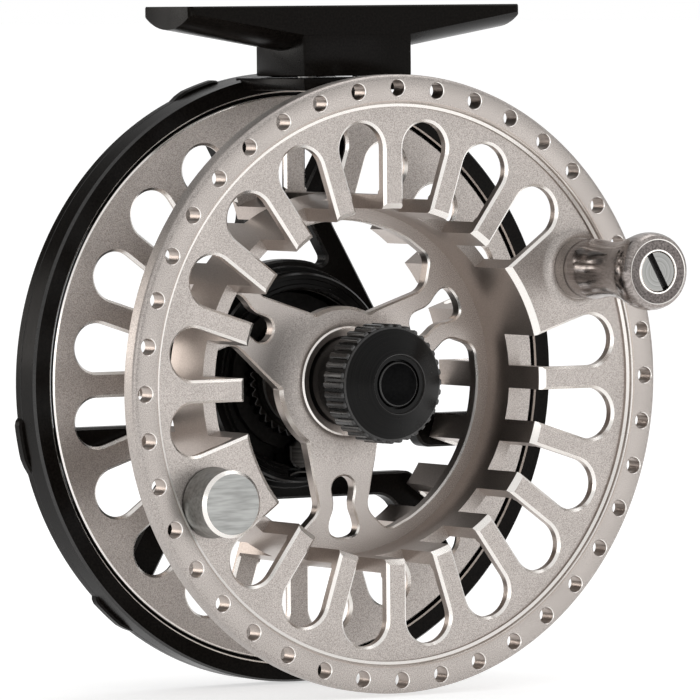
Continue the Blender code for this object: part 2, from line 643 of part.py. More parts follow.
def make_drag_knob():
    """Rear drag knob: a cup with scalloped grip, threaded over the thrust ring."""
    cavity = 13.8
    profile = [(cavity, KNOB_FRONT), (KNOB_R - 1.2, KNOB_FRONT), (KNOB_R - 1.2, KNOB_BACK - 1.2)]
    profile += [(KNOB_R - 2.4, KNOB_BACK), (4.6, KNOB_BACK), (4.6, 51.3), (2.0, 51.3), (2.0, 49.9)]
    profile += [(cavity, 49.9)]
    knob = turned("drag_knob", profile, BLACK_ANODISED, 24)
    lobes = 12
    grip = []
    for i in range(lobes * 4):
        lift = 0.5 * (1 + cos(lobes * 2 * pi * i / (lobes * 4)))
        grip.append(polar(KNOB_R - 0.9 * lift, 360 * i / (lobes * 4)))
    combine(knob, plate("knob_grip", [grip, circle((0, 0), KNOB_R - 1.5, 24)], 44.4, 51.0), "UNION")


def make_rotor():
    """Ratchet wheel on the spindle with its one-way roller clutch and the three drive pins."""
    hub_r, neck_r, bore = 8.4, 7.6, 5.7
    profile = [(bore, 30.0), (hub_r, 30.0), (hub_r, 32.0), (neck_r, 32.0), (neck_r, 36.6), (bore, 36.6)]
    wheel = turned("ratchet_wheel", profile, STAINLESS, 24)
    teeth = []
    for i in range(WHEEL_TEETH):
        middle = 270 + 360 / WHEEL_TEETH * (i + 0.5)
        teeth.append(polar(WHEEL_R, middle - 1.2))
        teeth.append(polar(WHEEL_R, middle + 1.2))
        teeth.append(polar(WHEEL_R - 0.8, middle + 180 / WHEEL_TEETH))
    rim = plate("wheel_teeth", [teeth, circle((0, 0), 6.6, 24)], WHEEL_FRONT, WHEEL_BACK)
    combine(wheel, rim, "UNION")
    sockets = [circle(polar(DRIVE_PIN_R, a), 1.2, 12) for a in DRIVE_PIN_ANGLES]
    combine(wheel, plate("wheel_sockets", sockets, 29, 32, cutter=True))
    turned("roller_clutch", [(3.3, 30.3), (5.4, 30.3), (5.4, 36.4), (3.3, 36.4)], STAINLESS)
    for name, angle in zip(("top", "left", "right"), DRIVE_PIN_ANGLES):
        pin = [(0, 27.2), (0.9, 27.2), (0.9, 31.7), (0, 31.7)]
        turned("drive_pin_" + name, pin, STAINLESS, 10, polar(DRIVE_PIN_R, angle))


def make_click():
    """Sprung click pawl that slides away from the ratchet wheel, and its bow spring."""
    tip = [(0.25, -9.75), (1.6, -11.3), (2.3, -11.6)]
    outline = tip + arc((0, -13.3), 2.3, 0, -180, 12)[1:-1] + [(-x, y) for x, y in reversed(tip)]
    plate("click_pawl", [outline], WHEEL_FRONT, WHEEL_BACK, BRUSHED)
    outer = arc((0, -21.3), 5.35, 64, 116, 8)
    inner = arc((0, -21.3), 5.05, 116, 64, 8)
    plate("click_spring", [outer + inner], WHEEL_FRONT + 0.2, WHEEL_BACK - 0.2, STAINLESS)


make_spool()
make_spool_fittings()
make_handle()
make_spool_cap()
make_frame()
make_foot()
make_housing()
make_spindle()
make_drag()
make_drag_knob()
make_rotor()
make_click()
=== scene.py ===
# %% [markdown]
# # A large-arbor fly reel
# The reel is a silver spool with two slotted flanges, carried by a slim black frame under a rod foot.
# Nearly every piece is turned or milled metal, so the shapes come from two ideas: a profile spun about
# an axis, and an outline pushed along it.

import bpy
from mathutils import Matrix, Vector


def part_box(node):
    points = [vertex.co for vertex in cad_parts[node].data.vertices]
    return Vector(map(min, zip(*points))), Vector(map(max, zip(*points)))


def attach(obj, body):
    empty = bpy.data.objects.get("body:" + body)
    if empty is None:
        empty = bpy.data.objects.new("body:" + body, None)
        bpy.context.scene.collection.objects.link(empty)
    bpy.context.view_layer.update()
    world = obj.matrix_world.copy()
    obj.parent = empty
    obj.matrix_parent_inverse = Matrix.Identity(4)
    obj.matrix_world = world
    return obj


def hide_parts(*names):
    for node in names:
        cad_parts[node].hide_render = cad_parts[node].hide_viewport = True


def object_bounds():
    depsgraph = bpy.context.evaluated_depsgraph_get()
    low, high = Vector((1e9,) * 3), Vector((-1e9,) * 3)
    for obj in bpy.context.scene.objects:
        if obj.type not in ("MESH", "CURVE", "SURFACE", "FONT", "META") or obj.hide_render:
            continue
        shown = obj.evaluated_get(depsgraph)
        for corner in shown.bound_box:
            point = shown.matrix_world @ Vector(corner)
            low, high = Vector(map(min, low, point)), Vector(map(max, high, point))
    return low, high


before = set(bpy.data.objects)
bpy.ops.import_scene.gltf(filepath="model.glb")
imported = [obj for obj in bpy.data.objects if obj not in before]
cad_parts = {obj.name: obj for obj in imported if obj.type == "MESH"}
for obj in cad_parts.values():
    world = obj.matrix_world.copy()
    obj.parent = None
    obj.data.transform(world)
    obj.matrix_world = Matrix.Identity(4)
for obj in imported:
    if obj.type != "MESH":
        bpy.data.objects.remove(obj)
cad_low, cad_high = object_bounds()

# %% [markdown]
# ## One workshop frame
# A lathe operator measures from the spindle and from the front face, so the pieces are made in
# millimetres about the spool's axis: x to the right, y up, and z towards the handle side. A
# place behind the spool's front face is its depth, and z is minus that depth. One matrix then
# carries a finished mesh into the row frame, in metres.

# %% The spool's axis and front face
from math import acos, atan2, cos, degrees, hypot, pi, radians, sin, sqrt

import bmesh
import bpy
from mathutils import Matrix, Vector

MM = 0.001
spool_low, spool_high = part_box("spool")
FRONT_CENTRE = Vector(((spool_low.x + spool_high.x) / 2, spool_low.y, (spool_low.z + spool_high.z) / 2))
ABOUT_SPOOL = Matrix.Translation(FRONT_CENTRE) @ Matrix.Rotation(pi / 2, 4, "X") @ Matrix.Scale(MM, 4)
UNDER_ROD = Matrix.Scale(MM, 4)
AXIS_DROP = -FRONT_CENTRE.z / MM
print("axis below the foot:", round(AXIS_DROP, 2), "mm")


# %% [markdown]
# ## Shared effects
# Three things make metal look machined: the grain that blasting leaves, the fine rings that a
# lathe leaves, and the faint smears of handling. Each is a node group, built once, that gives out
# a value, the grain and the rings a height too; a material then places it with its own scale and
# strength.

# %% Start a node group
def start_group(name, inputs, outputs):
    """An empty group with float or vector inputs and float outputs."""
    group = bpy.data.node_groups.new(name, "ShaderNodeTree")
    for label, kind, value in inputs:
        socket = group.interface.new_socket(label, in_out="INPUT", socket_type=kind)
        if value is not None:
            socket.default_value = value
    for label in outputs:
        group.interface.new_socket(label, in_out="OUTPUT", socket_type="NodeSocketFloat")
    return group, group.nodes.new("NodeGroupInput"), group.nodes.new("NodeGroupOutput")


def wire(tree, pairs):
    """Link (from socket, to socket) pairs."""
    for source, target in pairs:
        tree.links.new(source, target)


def dial(node, settings):
    """Set a node's own sockets by label."""
    for label, value in settings.items():
        node.inputs[label].default_value = value


# %% Blasted grain: fine round speckle
def build_grain():
    group, enter, leave = start_group(
        "blasted_grain",
        [("Vector", "NodeSocketVector", None), ("Scale", "NodeSocketFloat", 4000.0)],
        ["Value", "Height"],
    )
    fine = group.nodes.new("ShaderNodeTexNoise")
    dial(fine, {"Detail": 2.0, "Roughness": 0.6})
    spread = group.nodes.new("ShaderNodeMapRange")
    dial(spread, {"From Min": 0.34, "From Max": 0.66})
    wire(group, [
        (enter.outputs["Vector"], fine.inputs["Vector"]),
        (enter.outputs["Scale"], fine.inputs["Scale"]),
        (fine.outputs["Fac"], spread.inputs["Value"]),
        (spread.outputs["Result"], leave.inputs["Value"]),
        (fine.outputs["Fac"], leave.inputs["Height"]),
    ])
    return group


# %% Lathe marks: rings about the y axis of the mapped coordinates, uneven as a real feed is
def build_lathe_marks():
    group, enter, leave = start_group(
        "lathe_marks",
        [("Vector", "NodeSocketVector", None), ("Scale", "NodeSocketFloat", 3000.0)],
        ["Value", "Height"],
    )
    parts = group.nodes.new("ShaderNodeSeparateXYZ")
    flat = group.nodes.new("ShaderNodeCombineXYZ")
    radius = group.nodes.new("ShaderNodeVectorMath")
    radius.operation = "LENGTH"
    along = group.nodes.new("ShaderNodeMath")
    along.operation = "ADD"
    rings = group.nodes.new("ShaderNodeTexNoise")
    rings.noise_dimensions = "1D"
    rings.inputs["Detail"].default_value = 3.0
    spread = group.nodes.new("ShaderNodeMapRange")
    dial(spread, {"From Min": 0.3, "From Max": 0.7})
    wire(group, [
        (enter.outputs["Vector"], parts.inputs["Vector"]),
        (parts.outputs["X"], flat.inputs["X"]), (parts.outputs["Z"], flat.inputs["Z"]),
        (flat.outputs["Vector"], radius.inputs[0]),
        (radius.outputs["Value"], along.inputs[0]), (parts.outputs["Y"], along.inputs[1]),
        (along.outputs["Value"], rings.inputs["W"]), (enter.outputs["Scale"], rings.inputs["Scale"]),
        (rings.outputs["Fac"], spread.inputs["Value"]),
        (spread.outputs["Result"], leave.inputs["Value"]),
        (rings.outputs["Fac"], leave.inputs["Height"]),
    ])
    return group


# %% Handling: soft broad smears a few millimetres across
def build_handling():
    group, enter, leave = start_group(
        "handling_smears",
        [("Vector", "NodeSocketVector", None), ("Scale", "NodeSocketFloat", 120.0)],
        ["Value"],
    )
    cloud = group.nodes.new("ShaderNodeTexNoise")
    dial(cloud, {"Detail": 4.0, "Roughness": 0.55})
    spread = group.nodes.new("ShaderNodeMapRange")
    dial(spread, {"From Min": 0.3, "From Max": 0.7})
    wire(group, [
        (enter.outputs["Vector"], cloud.inputs["Vector"]),
        (enter.outputs["Scale"], cloud.inputs["Scale"]),
        (cloud.outputs["Fac"], spread.inputs["Value"]),
        (spread.outputs["Result"], leave.inputs["Value"]),
    ])
    return group


GRAIN, LATHE_MARKS, HANDLING = build_grain(), build_lathe_marks(), build_handling()
print("shared effects:", GRAIN.name, LATHE_MARKS.name, HANDLING.name)


# %% [markdown]
# ## A finish from two tones
# A metal is seldom one colour: its grain or its lathe rings move it between a darker and a
# lighter tone, and the smears move its gloss. So a finish names two tones, two roughness values,
# and the size and depth of its pattern. The pattern reads Object coordinates through a Mapping
# node that centres it on the piece's own axis.

# %% Make a finish
SMEAR_SCALE = 120.0


def make_finish(name, tones, roughness, metallic, pattern, size, depth, centre=FRONT_CENTRE,
                stretch=(1, 1, 1), shine=0.5):
    """A Principled material: its tone follows a pattern group and its gloss follows the smears."""
    material = bpy.data.materials.new(name)
    material.use_nodes = True
    tree = material.node_tree
    shader = tree.nodes["Principled BSDF"]
    dial(shader, {"Metallic": metallic, "Specular IOR Level": shine})
    place = tree.nodes.new("ShaderNodeTexCoord")
    mapping = tree.nodes.new("ShaderNodeMapping")
    mapping.vector_type = "POINT"
    dial(mapping, {"Scale": stretch, "Location": [-c * s for c, s in zip(centre, stretch)]})
    marks = tree.nodes.new("ShaderNodeGroup")
    marks.node_tree = pattern
    marks.inputs["Scale"].default_value = size
    smears = tree.nodes.new("ShaderNodeGroup")
    smears.node_tree = HANDLING
    smears.inputs["Scale"].default_value = SMEAR_SCALE
    tone = tree.nodes.new("ShaderNodeMix")
    tone.data_type = "RGBA"
    gloss = tree.nodes.new("ShaderNodeMapRange")
    dial(gloss, {"To Min": roughness[0], "To Max": roughness[1]})
    bump = tree.nodes.new("ShaderNodeBump")
    dial(bump, {"Strength": 1.0, "Distance": depth * MM})
    mix_colour = [s for s in tone.inputs if s.type == "RGBA"]
    mix_colour[0].default_value = (*tones[0], 1)
    mix_colour[1].default_value = (*tones[1], 1)
    result = [s for s in tone.outputs if s.type == "RGBA"][0]
    wire(tree, [
        (place.outputs["Object"], mapping.inputs["Vector"]),
        (mapping.outputs["Vector"], marks.inputs["Vector"]),
        (mapping.outputs["Vector"], smears.inputs["Vector"]),
        (marks.outputs["Value"], tone.inputs["Factor"]),
        (result, shader.inputs["Base Color"]),
        (smears.outputs["Value"], gloss.inputs["Value"]),
        (gloss.outputs["Result"], shader.inputs["Roughness"]),
        (marks.outputs["Height"], bump.inputs["Height"]),
        (bump.outputs["Normal"], shader.inputs["Normal"]),
    ])
    return material


# %% [markdown]
# ## The reel's finishes
# The spool is bead-blasted before it is anodised a warm silver, which leaves a speckled skin.
# Slots are milled afterwards, so their walls are smooth and browner, and every edge is cut once
# more with a bright chamfer. The frame, foot, cap and knob are black anodised over a fine skin.

# %% Silver, black and steel
BLASTED = make_finish("blasted_silver", ((0.28, 0.252, 0.234), (0.60, 0.552, 0.52)), (0.38, 0.46), 1.0,
                      GRAIN, 6500.0, 0.012)
SATIN = make_finish("milled_silver", ((0.40, 0.345, 0.31), (0.52, 0.455, 0.415)), (0.28, 0.36), 1.0,
                    GRAIN, 5000.0, 0.003)
EDGE = make_finish("bright_cut_edge", ((0.90, 0.86, 0.82), (0.95, 0.92, 0.88)), (0.24, 0.30), 1.0,
                   GRAIN, 5000.0, 0.0004)
BLACK = make_finish("black_anodised_gloss", ((0.003, 0.0024, 0.002), (0.0075, 0.0062, 0.0052)),
                    (0.18, 0.28), 0.0, GRAIN, 2600.0, 0.002, shine=0.05)
# A lighter black for worn edges, chamfers and grooves; cut into a steel screw it also paints the slot
# near-black, as painted shade.
WORN_EDGE_AND_SLOT_SHADE = make_finish("black_worn_edge_and_painted_slot_shade", ((0.008, 0.0075, 0.007), (0.02, 0.0185, 0.0175)),
                         (0.22, 0.32), 0.0, GRAIN, 1800.0, 0.002, shine=0.6)
BLACK_TURNED = make_finish("black_turned", ((0.002, 0.002, 0.0019), (0.006, 0.0056, 0.0053)),
                           (0.16, 0.26), 0.0, LATHE_MARKS, 2500.0, 0.003, shine=0.06)
STEEL = make_finish("turned_steel", ((0.40, 0.395, 0.385), (0.62, 0.61, 0.60)), (0.22, 0.34), 1.0,
                    LATHE_MARKS, 2800.0, 0.004)
BRONZE = make_finish("bearing_bronze_turned", ((0.40, 0.24, 0.09), (0.58, 0.38, 0.17)),
                     (0.3, 0.42), 1.0, LATHE_MARKS, 2200.0, 0.004)
# Drag lining toned near-black: its dark tone is painted shade of the housing recess.
LINING_TONED_AS_SHADE = make_finish("drag_lining_painted_recess_shade", ((0.004, 0.0036, 0.0032), (0.012, 0.011, 0.01)), (0.55, 0.7), 0.0,
                     GRAIN, 1400.0, 0.02, shine=0.2)
ACETAL = make_finish("moulded_acetal", ((0.002, 0.002, 0.0021), (0.004, 0.004, 0.0042)),
                     (0.12, 0.2), 0.0, GRAIN, 2000.0, 0.001, shine=0.02)
CAP_BLACK = make_finish("black_satin_cap", ((0.002, 0.0019, 0.0018), (0.005, 0.0047, 0.0044)),
                        (0.22, 0.3), 0.0, LATHE_MARKS, 2500.0, 0.002, shine=0.14)
RIBBED = make_finish("worn_black_ribs", ((0.008, 0.007, 0.0063), (0.024, 0.021, 0.019)),
                     (0.2, 0.3), 0.0, GRAIN, 3000.0, 0.003, shine=0.4)
# Steel toned near-black: painted shade for the ratchet, pawl, pins, clutch and spring deep in the
# housing.
RECESS_SHADED_STEEL = make_finish("steel_darkened_as_painted_recess_shade", ((0.018, 0.017, 0.016), (0.05, 0.047, 0.044)),
                         (0.2, 0.32), 1.0, LATHE_MARKS, 2800.0, 0.004)
print("finishes:", len(bpy.data.materials))


# %% [markdown]
# ## Outlines
# The slots, windows and legs are flat outlines of (x, y) points in millimetres. A cutter's edge
# follows an outline; a chamfer is the same outline grown by a little, so growing an outline
# outwards along its corners is the one tool that every bright edge needs.

# %% Arcs, turns and growth
SHARPEST_MITRE = 1.2


def polar(radius, angle):
    """Point at a radius and an angle in degrees."""
    return radius * cos(radians(angle)), radius * sin(radians(angle))


def arc(centre, radius, start, end, count):
    """Points along an arc, both ends included, in degrees."""
    angles = [radians(start + (end - start) * i / count) for i in range(count + 1)]
    return [(centre[0] + radius * cos(a), centre[1] + radius * sin(a)) for a in angles]


def circle(centre, radius, count):
    """Closed circle, half a step round from the x axis."""
    step = 360 / count
    return arc(centre, radius, step / 2, 360 - step / 2, count - 1)


def turn(points, angle):
    """The points turned about the axis."""
    c, s = cos(radians(angle)), sin(radians(angle))
    return [(x * c - y * s, x * s + y * c) for x, y in points]


def grow(outline, distance):
    """The outline moved outwards, each corner along the mitre of its two sides."""
    area = sum(a[0] * b[1] - b[0] * a[1] for a, b in zip(outline, outline[1:] + outline[:1]))
    side = distance if area > 0 else -distance
    grown = []
    for i, point in enumerate(outline):
        here = Vector(point)
        before = (here - Vector(outline[i - 1])).normalized()
        after = (Vector(outline[(i + 1) % len(outline)]) - here).normalized()
        mitre = Vector((before.y + after.y, -before.x - after.x))
        grown.append(tuple(here + mitre * (2 * side / max(mitre.length_squared, SHARPEST_MITRE))))
    return grown


# %% Round the corners of a polygon
def filleted(corners, count=8):
    """A polygon of (x, y, radius) corners, each rounded by an arc."""
    outline = []
    for i, (x, y, radius) in enumerate(corners):
        if radius == 0:
            outline.append((x, y))
            continue
        here = Vector((x, y))
        before = (Vector(corners[i - 1][:2]) - here).normalized()
        after = (Vector(corners[(i + 1) % len(corners)][:2]) - here).normalized()
        half = acos(max(-1, min(1, before.dot(after)))) / 2
        centre = here + (before + after).normalized() * (radius / sin(half))
        first = here + before * (radius / sin(half) * cos(half)) - centre
        last = here + after * (radius / sin(half) * cos(half)) - centre
        start = atan2(first.y, first.x)
        sweep = (atan2(last.y, last.x) - start + pi) % (2 * pi) - pi
        outline += arc(centre, radius, degrees(start), degrees(start + sweep), count)
    return outline


def flowing(points, count=6):
    """A smooth curve through the points, by Catmull-Rom."""
    padded = [points[0]] + list(points) + [points[-1]]
    curve = []
    for a, b, c, d in zip(padded, padded[1:], padded[2:], padded[3:]):
        for i in range(count):
            t = i / count
            curve.append(tuple(
                0.5 * (2 * q + (r - p) * t + (2 * p - 5 * q + 4 * r - s) * t * t
                       + (3 * q - p - 3 * r + s) * t ** 3)
                for p, q, r, s in zip(a, b, c, d)
            ))
    return curve + [points[-1]]


# %% [markdown]
# ## The lathe, the mill and the joiner
# Three helpers make every piece. The lathe spins a profile. The mill sweeps an outline through
# levels of depth and growth, so a wall and its chamfer come in one go. The joiner is a Boolean
# that keeps each side's own material, which is how a chamfer cut into blasted metal comes out
# bright.

# %% The lathe
def segment_distance(radius, depth, start, end):
    """How far a point of the half plane is from one stretch of the profile."""
    run = (end[0] - start[0], end[1] - start[1])
    long = run[0] ** 2 + run[1] ** 2 or 1
    t = max(0, min(1, ((radius - start[0]) * run[0] + (depth - start[1]) * run[1]) / long))
    return hypot(radius - start[0] - t * run[0], depth - start[1] - t * run[1])


def link_mesh(name, bm, palette):
    """A new object from a bmesh, with its materials."""
    mesh = bpy.data.meshes.new(name)
    bm.to_mesh(mesh)
    bm.free()
    for material in palette:
        mesh.materials.append(material)
    piece = bpy.data.objects.new(name, mesh)
    bpy.context.scene.collection.objects.link(piece)
    return piece


def lathe(name, profile, palette, steps=96, centre=(0, 0)):
    """A turned piece. A profile point is (radius, depth), or adds the finish of the stretch after it."""
    profile = [(*point, 0)[:3] for point in profile]
    bm = bmesh.new()
    rail = [bm.verts.new((radius, 0, -depth)) for radius, depth, _ in profile]
    edges = [bm.edges.new(pair) for pair in zip(rail, rail[1:])]
    if profile[0][0] > 0:
        edges.append(bm.edges.new((rail[-1], rail[0])))
    bmesh.ops.spin(bm, geom=rail + edges, cent=(0, 0, 0), axis=(0, 0, 1), dvec=(0, 0, 0),
                   angle=2 * pi, steps=steps, use_merge=True)
    bmesh.ops.remove_doubles(bm, verts=bm.verts, dist=0.00001)
    bmesh.ops.recalc_face_normals(bm, faces=bm.faces)
    stretches = list(zip(profile, profile[1:] + profile[:1]))
    for face in bm.faces:
        middle = face.calc_center_median()
        radius, depth = hypot(middle.x, middle.y), -middle.z
        nearest = min(stretches, key=lambda s: segment_distance(radius, depth, *s))
        face.material_index = nearest[0][2]
    bmesh.ops.translate(bm, vec=(*centre, 0), verts=bm.verts)
    return link_mesh(name, bm, palette)


# %% The mill
def sweep(bm, sections, finishes):
    """A closed solid through sections of equal point count: first cap, walls, last cap."""
    ring = [bm.verts.new(point) for point in sections[0]]
    rim = [bm.edges.new((a, b)) for a, b in zip(ring, ring[1:] + ring[:1])]
    for face in bmesh.ops.contextual_create(bm, geom=ring + rim)["faces"]:
        face.material_index = finishes[0]
    for section, finish in zip(sections[1:], finishes[1:]):
        rim = [bm.edges.get((a, b)) for a, b in zip(ring, ring[1:] + ring[:1])]
        grown = bmesh.ops.extrude_edge_only(bm, edges=rim)["geom"]
        fresh = {item for item in grown if isinstance(item, bmesh.types.BMVert)}
        for face in (item for item in grown if isinstance(item, bmesh.types.BMFace)):
            face.material_index = finish
        ring = [next(e.other_vert(v) for e in v.link_edges if e.other_vert(v) in fresh) for v in ring]
        for vert, point in zip(ring, section):
            vert.co = point
    rim = [bm.edges.get((a, b)) for a, b in zip(ring, ring[1:] + ring[:1])]
    for face in bmesh.ops.contextual_create(bm, geom=ring + rim)["faces"]:
        face.material_index = finishes[-1]


def mill(name, outlines, levels, palette, finishes=None):
    """Outlines pushed through levels, each a (depth, growth)."""
    bm = bmesh.new()
    finishes = finishes or [0] * (len(levels) + 1)
    for outline in outlines:
        sections = [[(x, y, -depth) for x, y in grow(outline, growth)] for depth, growth in levels]
        sweep(bm, sections, finishes)
    bmesh.ops.recalc_face_normals(bm, faces=bm.faces)
    return link_mesh(name, bm, palette)


def bar(name, low, high, palette, bevel=0.0):
    """A rectangular bar between two corners, its edges eased."""
    bm = bmesh.new()
    size = [b - a for a, b in zip(low, high)]
    middle = [(a + b) / 2 for a, b in zip(low, high)]
    bmesh.ops.create_cube(bm, size=1, matrix=Matrix.Translation(middle) @ Matrix.Diagonal((*size, 1)))
    if bevel:
        bmesh.ops.bevel(bm, geom=bm.edges[:], offset=bevel, segments=2, profile=0.5,
                        affect="EDGES", material=-1)
    return link_mesh(name, bm, palette)


# %% The joiner
def join(piece, tool, operation="DIFFERENCE"):
    """Cut the tool out of the piece, or add it, and take the tool away."""
    modifier = piece.modifiers.new(operation.lower(), "BOOLEAN")
    modifier.object = tool
    modifier.operation = operation
    modifier.solver = "EXACT"
    modifier.material_mode = "TRANSFER"
    bpy.context.view_layer.update()
    graph = bpy.context.evaluated_depsgraph_get()
    joined = bpy.data.meshes.new_from_object(piece.evaluated_get(graph))
    piece.modifiers.clear()
    piece.data = joined
    bpy.data.objects.remove(tool)
    return piece


# %% Hand a finished piece to its body
SAME_POINT, NO_LENGTH = 0.0003, 0.0002


def hand_over(piece, body, nodes, space=ABOUT_SPOOL, crease=30):
    """Clean the mesh, mark its hard edges, put it in the row frame and let it ride."""
    bm = bmesh.new()
    bm.from_mesh(piece.data)
    bmesh.ops.remove_doubles(bm, verts=bm.verts, dist=SAME_POINT)
    bmesh.ops.dissolve_degenerate(bm, edges=bm.edges, dist=NO_LENGTH)
    for face in bm.faces:
        face.smooth = True
    for edge in bm.edges:
        edge.smooth = edge.is_manifold and edge.calc_face_angle(0) < radians(crease)
    bmesh.ops.transform(bm, matrix=space, verts=bm.verts)
    open_edges = sum(not edge.is_manifold for edge in bm.edges)
    bm.to_mesh(piece.data)
    bm.free()
    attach(piece, body)
    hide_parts(*nodes)
    print(piece.name, "faces:", len(piece.data.polygons), "open edges:", open_edges)
    return piece


# %% [markdown]
# ## The spool
# The spool is turned from one billet: a raised rim band, a recessed face behind it, a thin arbor
# wall and a smaller rear flange. A spider of three arms sits deep in the arbor and carries the
# hub, which rises in a hollow curve to a thin lip round the cap's neck. The profile goes once
# round that section, and each stretch says whether it is blasted, milled or a bright edge.

# %% Spool sizes, in millimetres
SPOOL_R, BAND_R, BAND_STEP, FLANGE_BACK = 52.0, 46.9, 1.35, 3.5
REAR_R, REAR_FRONT, REAR_BACK = 48.3, 32.5, 33.8
ARBOR_R, ARBOR_BORE = 31.85, 29.5
FRONT_FLOOR, REAR_FLOOR = 11.4, 22.0
SPIDER_FRONT, SPIDER_BACK, SPIDER_RING = 18.0, 20.5, 27.2
HUB_R, LIP_R, LIP_DEPTH, HUB_BORE = 15.0, 9.3, 15.9, 5.2
BOSS_R, BOSS_BACK = 8.6, 29.6
SLOTS, PITCH, SLOT_END, SPOKE, REAR_SPOKE = 20, 18.0, 44.4, 1.92, 2.15
RIM_HOLES, HOLE_CIRCLE, HOLE_R = 40, 49.75, 1.36
PIN_CIRCLE = 6.9
ARMS = (30, 150, 270)
HANDLE_ANGLE, WEIGHT_ANGLE = 27, 207
HANDLE_AT, WEIGHT_AT = polar(40.95, HANDLE_ANGLE), polar(40.6, WEIGHT_ANGLE)
SKIN, WALL, BRIGHT = 0, 1, 2
SILVER = (BLASTED, SATIN, EDGE)


# %% Turn the blank
def spool_profile():
    """Section of the spool, down the outside and back up the bores."""
    points = [
        (BAND_R - 0.3, 0.95, BRIGHT), (BAND_R + 0.2, 0.75, WALL), (BAND_R + 0.32, 0.34, BRIGHT),
        (BAND_R + 0.5, 0.1, WALL), (BAND_R + 0.75, 0, SKIN), (SPOOL_R - 0.9, 0, SKIN),
        (SPOOL_R - 0.56, 0.07, SKIN), (SPOOL_R - 0.26, 0.26, SKIN), (SPOOL_R - 0.07, 0.56, SKIN),
        (SPOOL_R, 0.9, SKIN), (SPOOL_R, FLANGE_BACK - 0.4, WALL), (SPOOL_R - 0.4, FLANGE_BACK, SKIN),
        (ARBOR_R, FLANGE_BACK, WALL), (ARBOR_R, REAR_FRONT, SKIN), (REAR_R - 0.25, REAR_FRONT, BRIGHT),
        (REAR_R, REAR_FRONT + 0.25, WALL), (REAR_R, REAR_BACK - 0.3, BRIGHT),
        (REAR_R - 0.3, REAR_BACK, SKIN), (ARBOR_BORE + 0.5, REAR_BACK, BRIGHT),
        (ARBOR_BORE, REAR_BACK - 0.5, WALL), (ARBOR_BORE, SPIDER_BACK, SKIN), (BOSS_R, SPIDER_BACK, WALL),
        (BOSS_R, BOSS_BACK - 0.4, BRIGHT), (BOSS_R - 0.4, BOSS_BACK, WALL), (HUB_BORE, BOSS_BACK, WALL),
        (HUB_BORE, LIP_DEPTH + 1.2, WALL), (LIP_R - 1.2, LIP_DEPTH + 1.2, WALL),
        (LIP_R - 1.2, LIP_DEPTH, WALL), (LIP_R - 0.3, LIP_DEPTH, BRIGHT), (LIP_R, LIP_DEPTH + 0.2, SKIN),
    ]
    hub_reach, hub_rise, hub_steps = HUB_R - LIP_R, SPIDER_FRONT - LIP_DEPTH - 0.2, 15
    for i in range(1, hub_steps):
        bend = radians(90 * i / hub_steps)
        points.append((HUB_R - hub_reach * cos(bend), SPIDER_FRONT - hub_rise * (1 - sin(bend)), SKIN))
    points += [
        (HUB_R, SPIDER_FRONT, SKIN), (ARBOR_BORE, SPIDER_FRONT, WALL),
        (ARBOR_BORE, BAND_STEP + 0.9, BRIGHT), (ARBOR_BORE + 0.9, BAND_STEP, SKIN),
        (BAND_R - 0.38, BAND_STEP, WALL),
    ]
    return points


spool = lathe("spool_body", spool_profile(), SILVER, 288)
print("spool blank faces:", len(spool.data.polygons))


# %% [markdown]
# Twenty slots cut each flange. A slot is the gap between two parallel-sided spokes, closed by an
# arc that touches both, and it runs on through the arbor wall to a floor. The front flange leaves
# two slots uncut, for the handle and the weight opposite it.

# %% Slots
def slot_outline(half_width, inner_r, count=24):
    """The gap between two parallel-sided spokes, closed by an arc that touches both."""
    half_pitch = radians(PITCH / 2)
    end_centre = (SLOT_END + half_width) / (1 + sin(half_pitch))
    mouth = (inner_r * sin(half_pitch) - half_width) / cos(half_pitch)
    reach = 90 + PITCH / 2
    rounded = arc((end_centre, 0), SLOT_END - end_centre, -reach, reach, count)
    return [(inner_r, -mouth)] + rounded + [(inner_r, mouth)]


slot_angles = [PITCH * (i + 0.5) for i in range(SLOTS)]
cut_angles = [a for a in slot_angles if a not in (HANDLE_ANGLE, WEIGHT_ANGLE)]
THROUGH_ARBOR, OUTSIDE_ARBOR = 26.5, 32.6
join(spool, mill("front_slots", [turn(slot_outline(SPOKE, THROUGH_ARBOR), a) for a in cut_angles],
                 [(0.95, 0.85), (1.8, 0), (FRONT_FLOOR, 0)], SILVER, [SKIN, BRIGHT, WALL, SKIN]))
join(spool, mill("front_slot_backs", [turn(slot_outline(SPOKE, OUTSIDE_ARBOR), a) for a in cut_angles],
                 [(2.9, 0), (3.1, 0), (4.0, 0.9)], SILVER, [WALL, WALL, BRIGHT, WALL]))
join(spool, mill("rear_slots", [turn(slot_outline(REAR_SPOKE, THROUGH_ARBOR), a) for a in slot_angles],
                 [(REAR_FLOOR, 0), (REAR_BACK - 0.35, 0), (REAR_BACK + 0.5, 0.85)], SILVER,
                 [SKIN, WALL, BRIGHT, WALL]))
join(spool, mill("rear_slot_fronts",
                 [turn(slot_outline(REAR_SPOKE, OUTSIDE_ARBOR), a) for a in slot_angles],
                 [(31.9, 1.05), (32.95, 0), (33.05, 0)], SILVER, [WALL, BRIGHT, WALL, WALL]))
print("after the slots:", len(spool.data.polygons))


# %% [markdown]
# Forty small holes lighten the rim band. The spider between the arms opens in three large gaps,
# and each arm has a keyhole window: round near the hub, slim at its neck, wide near the ring.

# %% Rim holes and spider openings
def arm_gap():
    """The space between two arms, centred on local +x."""
    ring_arc = arc((0, 0), SPIDER_RING, -41, 41, 40)
    upper = [(*turn([(22.0, -4.75)], 60)[0], 3.0), (*turn([(10.4, -7.2)], 60)[0], 0.8)]
    lower = [(x, -y, r) for x, y, r in reversed(upper)]
    corners = [(*ring_arc[0], 2.6)] + [(*p, 0) for p in ring_arc[5:-5]] + [(*ring_arc[-1], 2.6)]
    hub_arc = [(*p, 0) for p in arc((0, 0), 12.65, 21, -21, 14)]
    return filleted(corners + upper + hub_arc + lower)


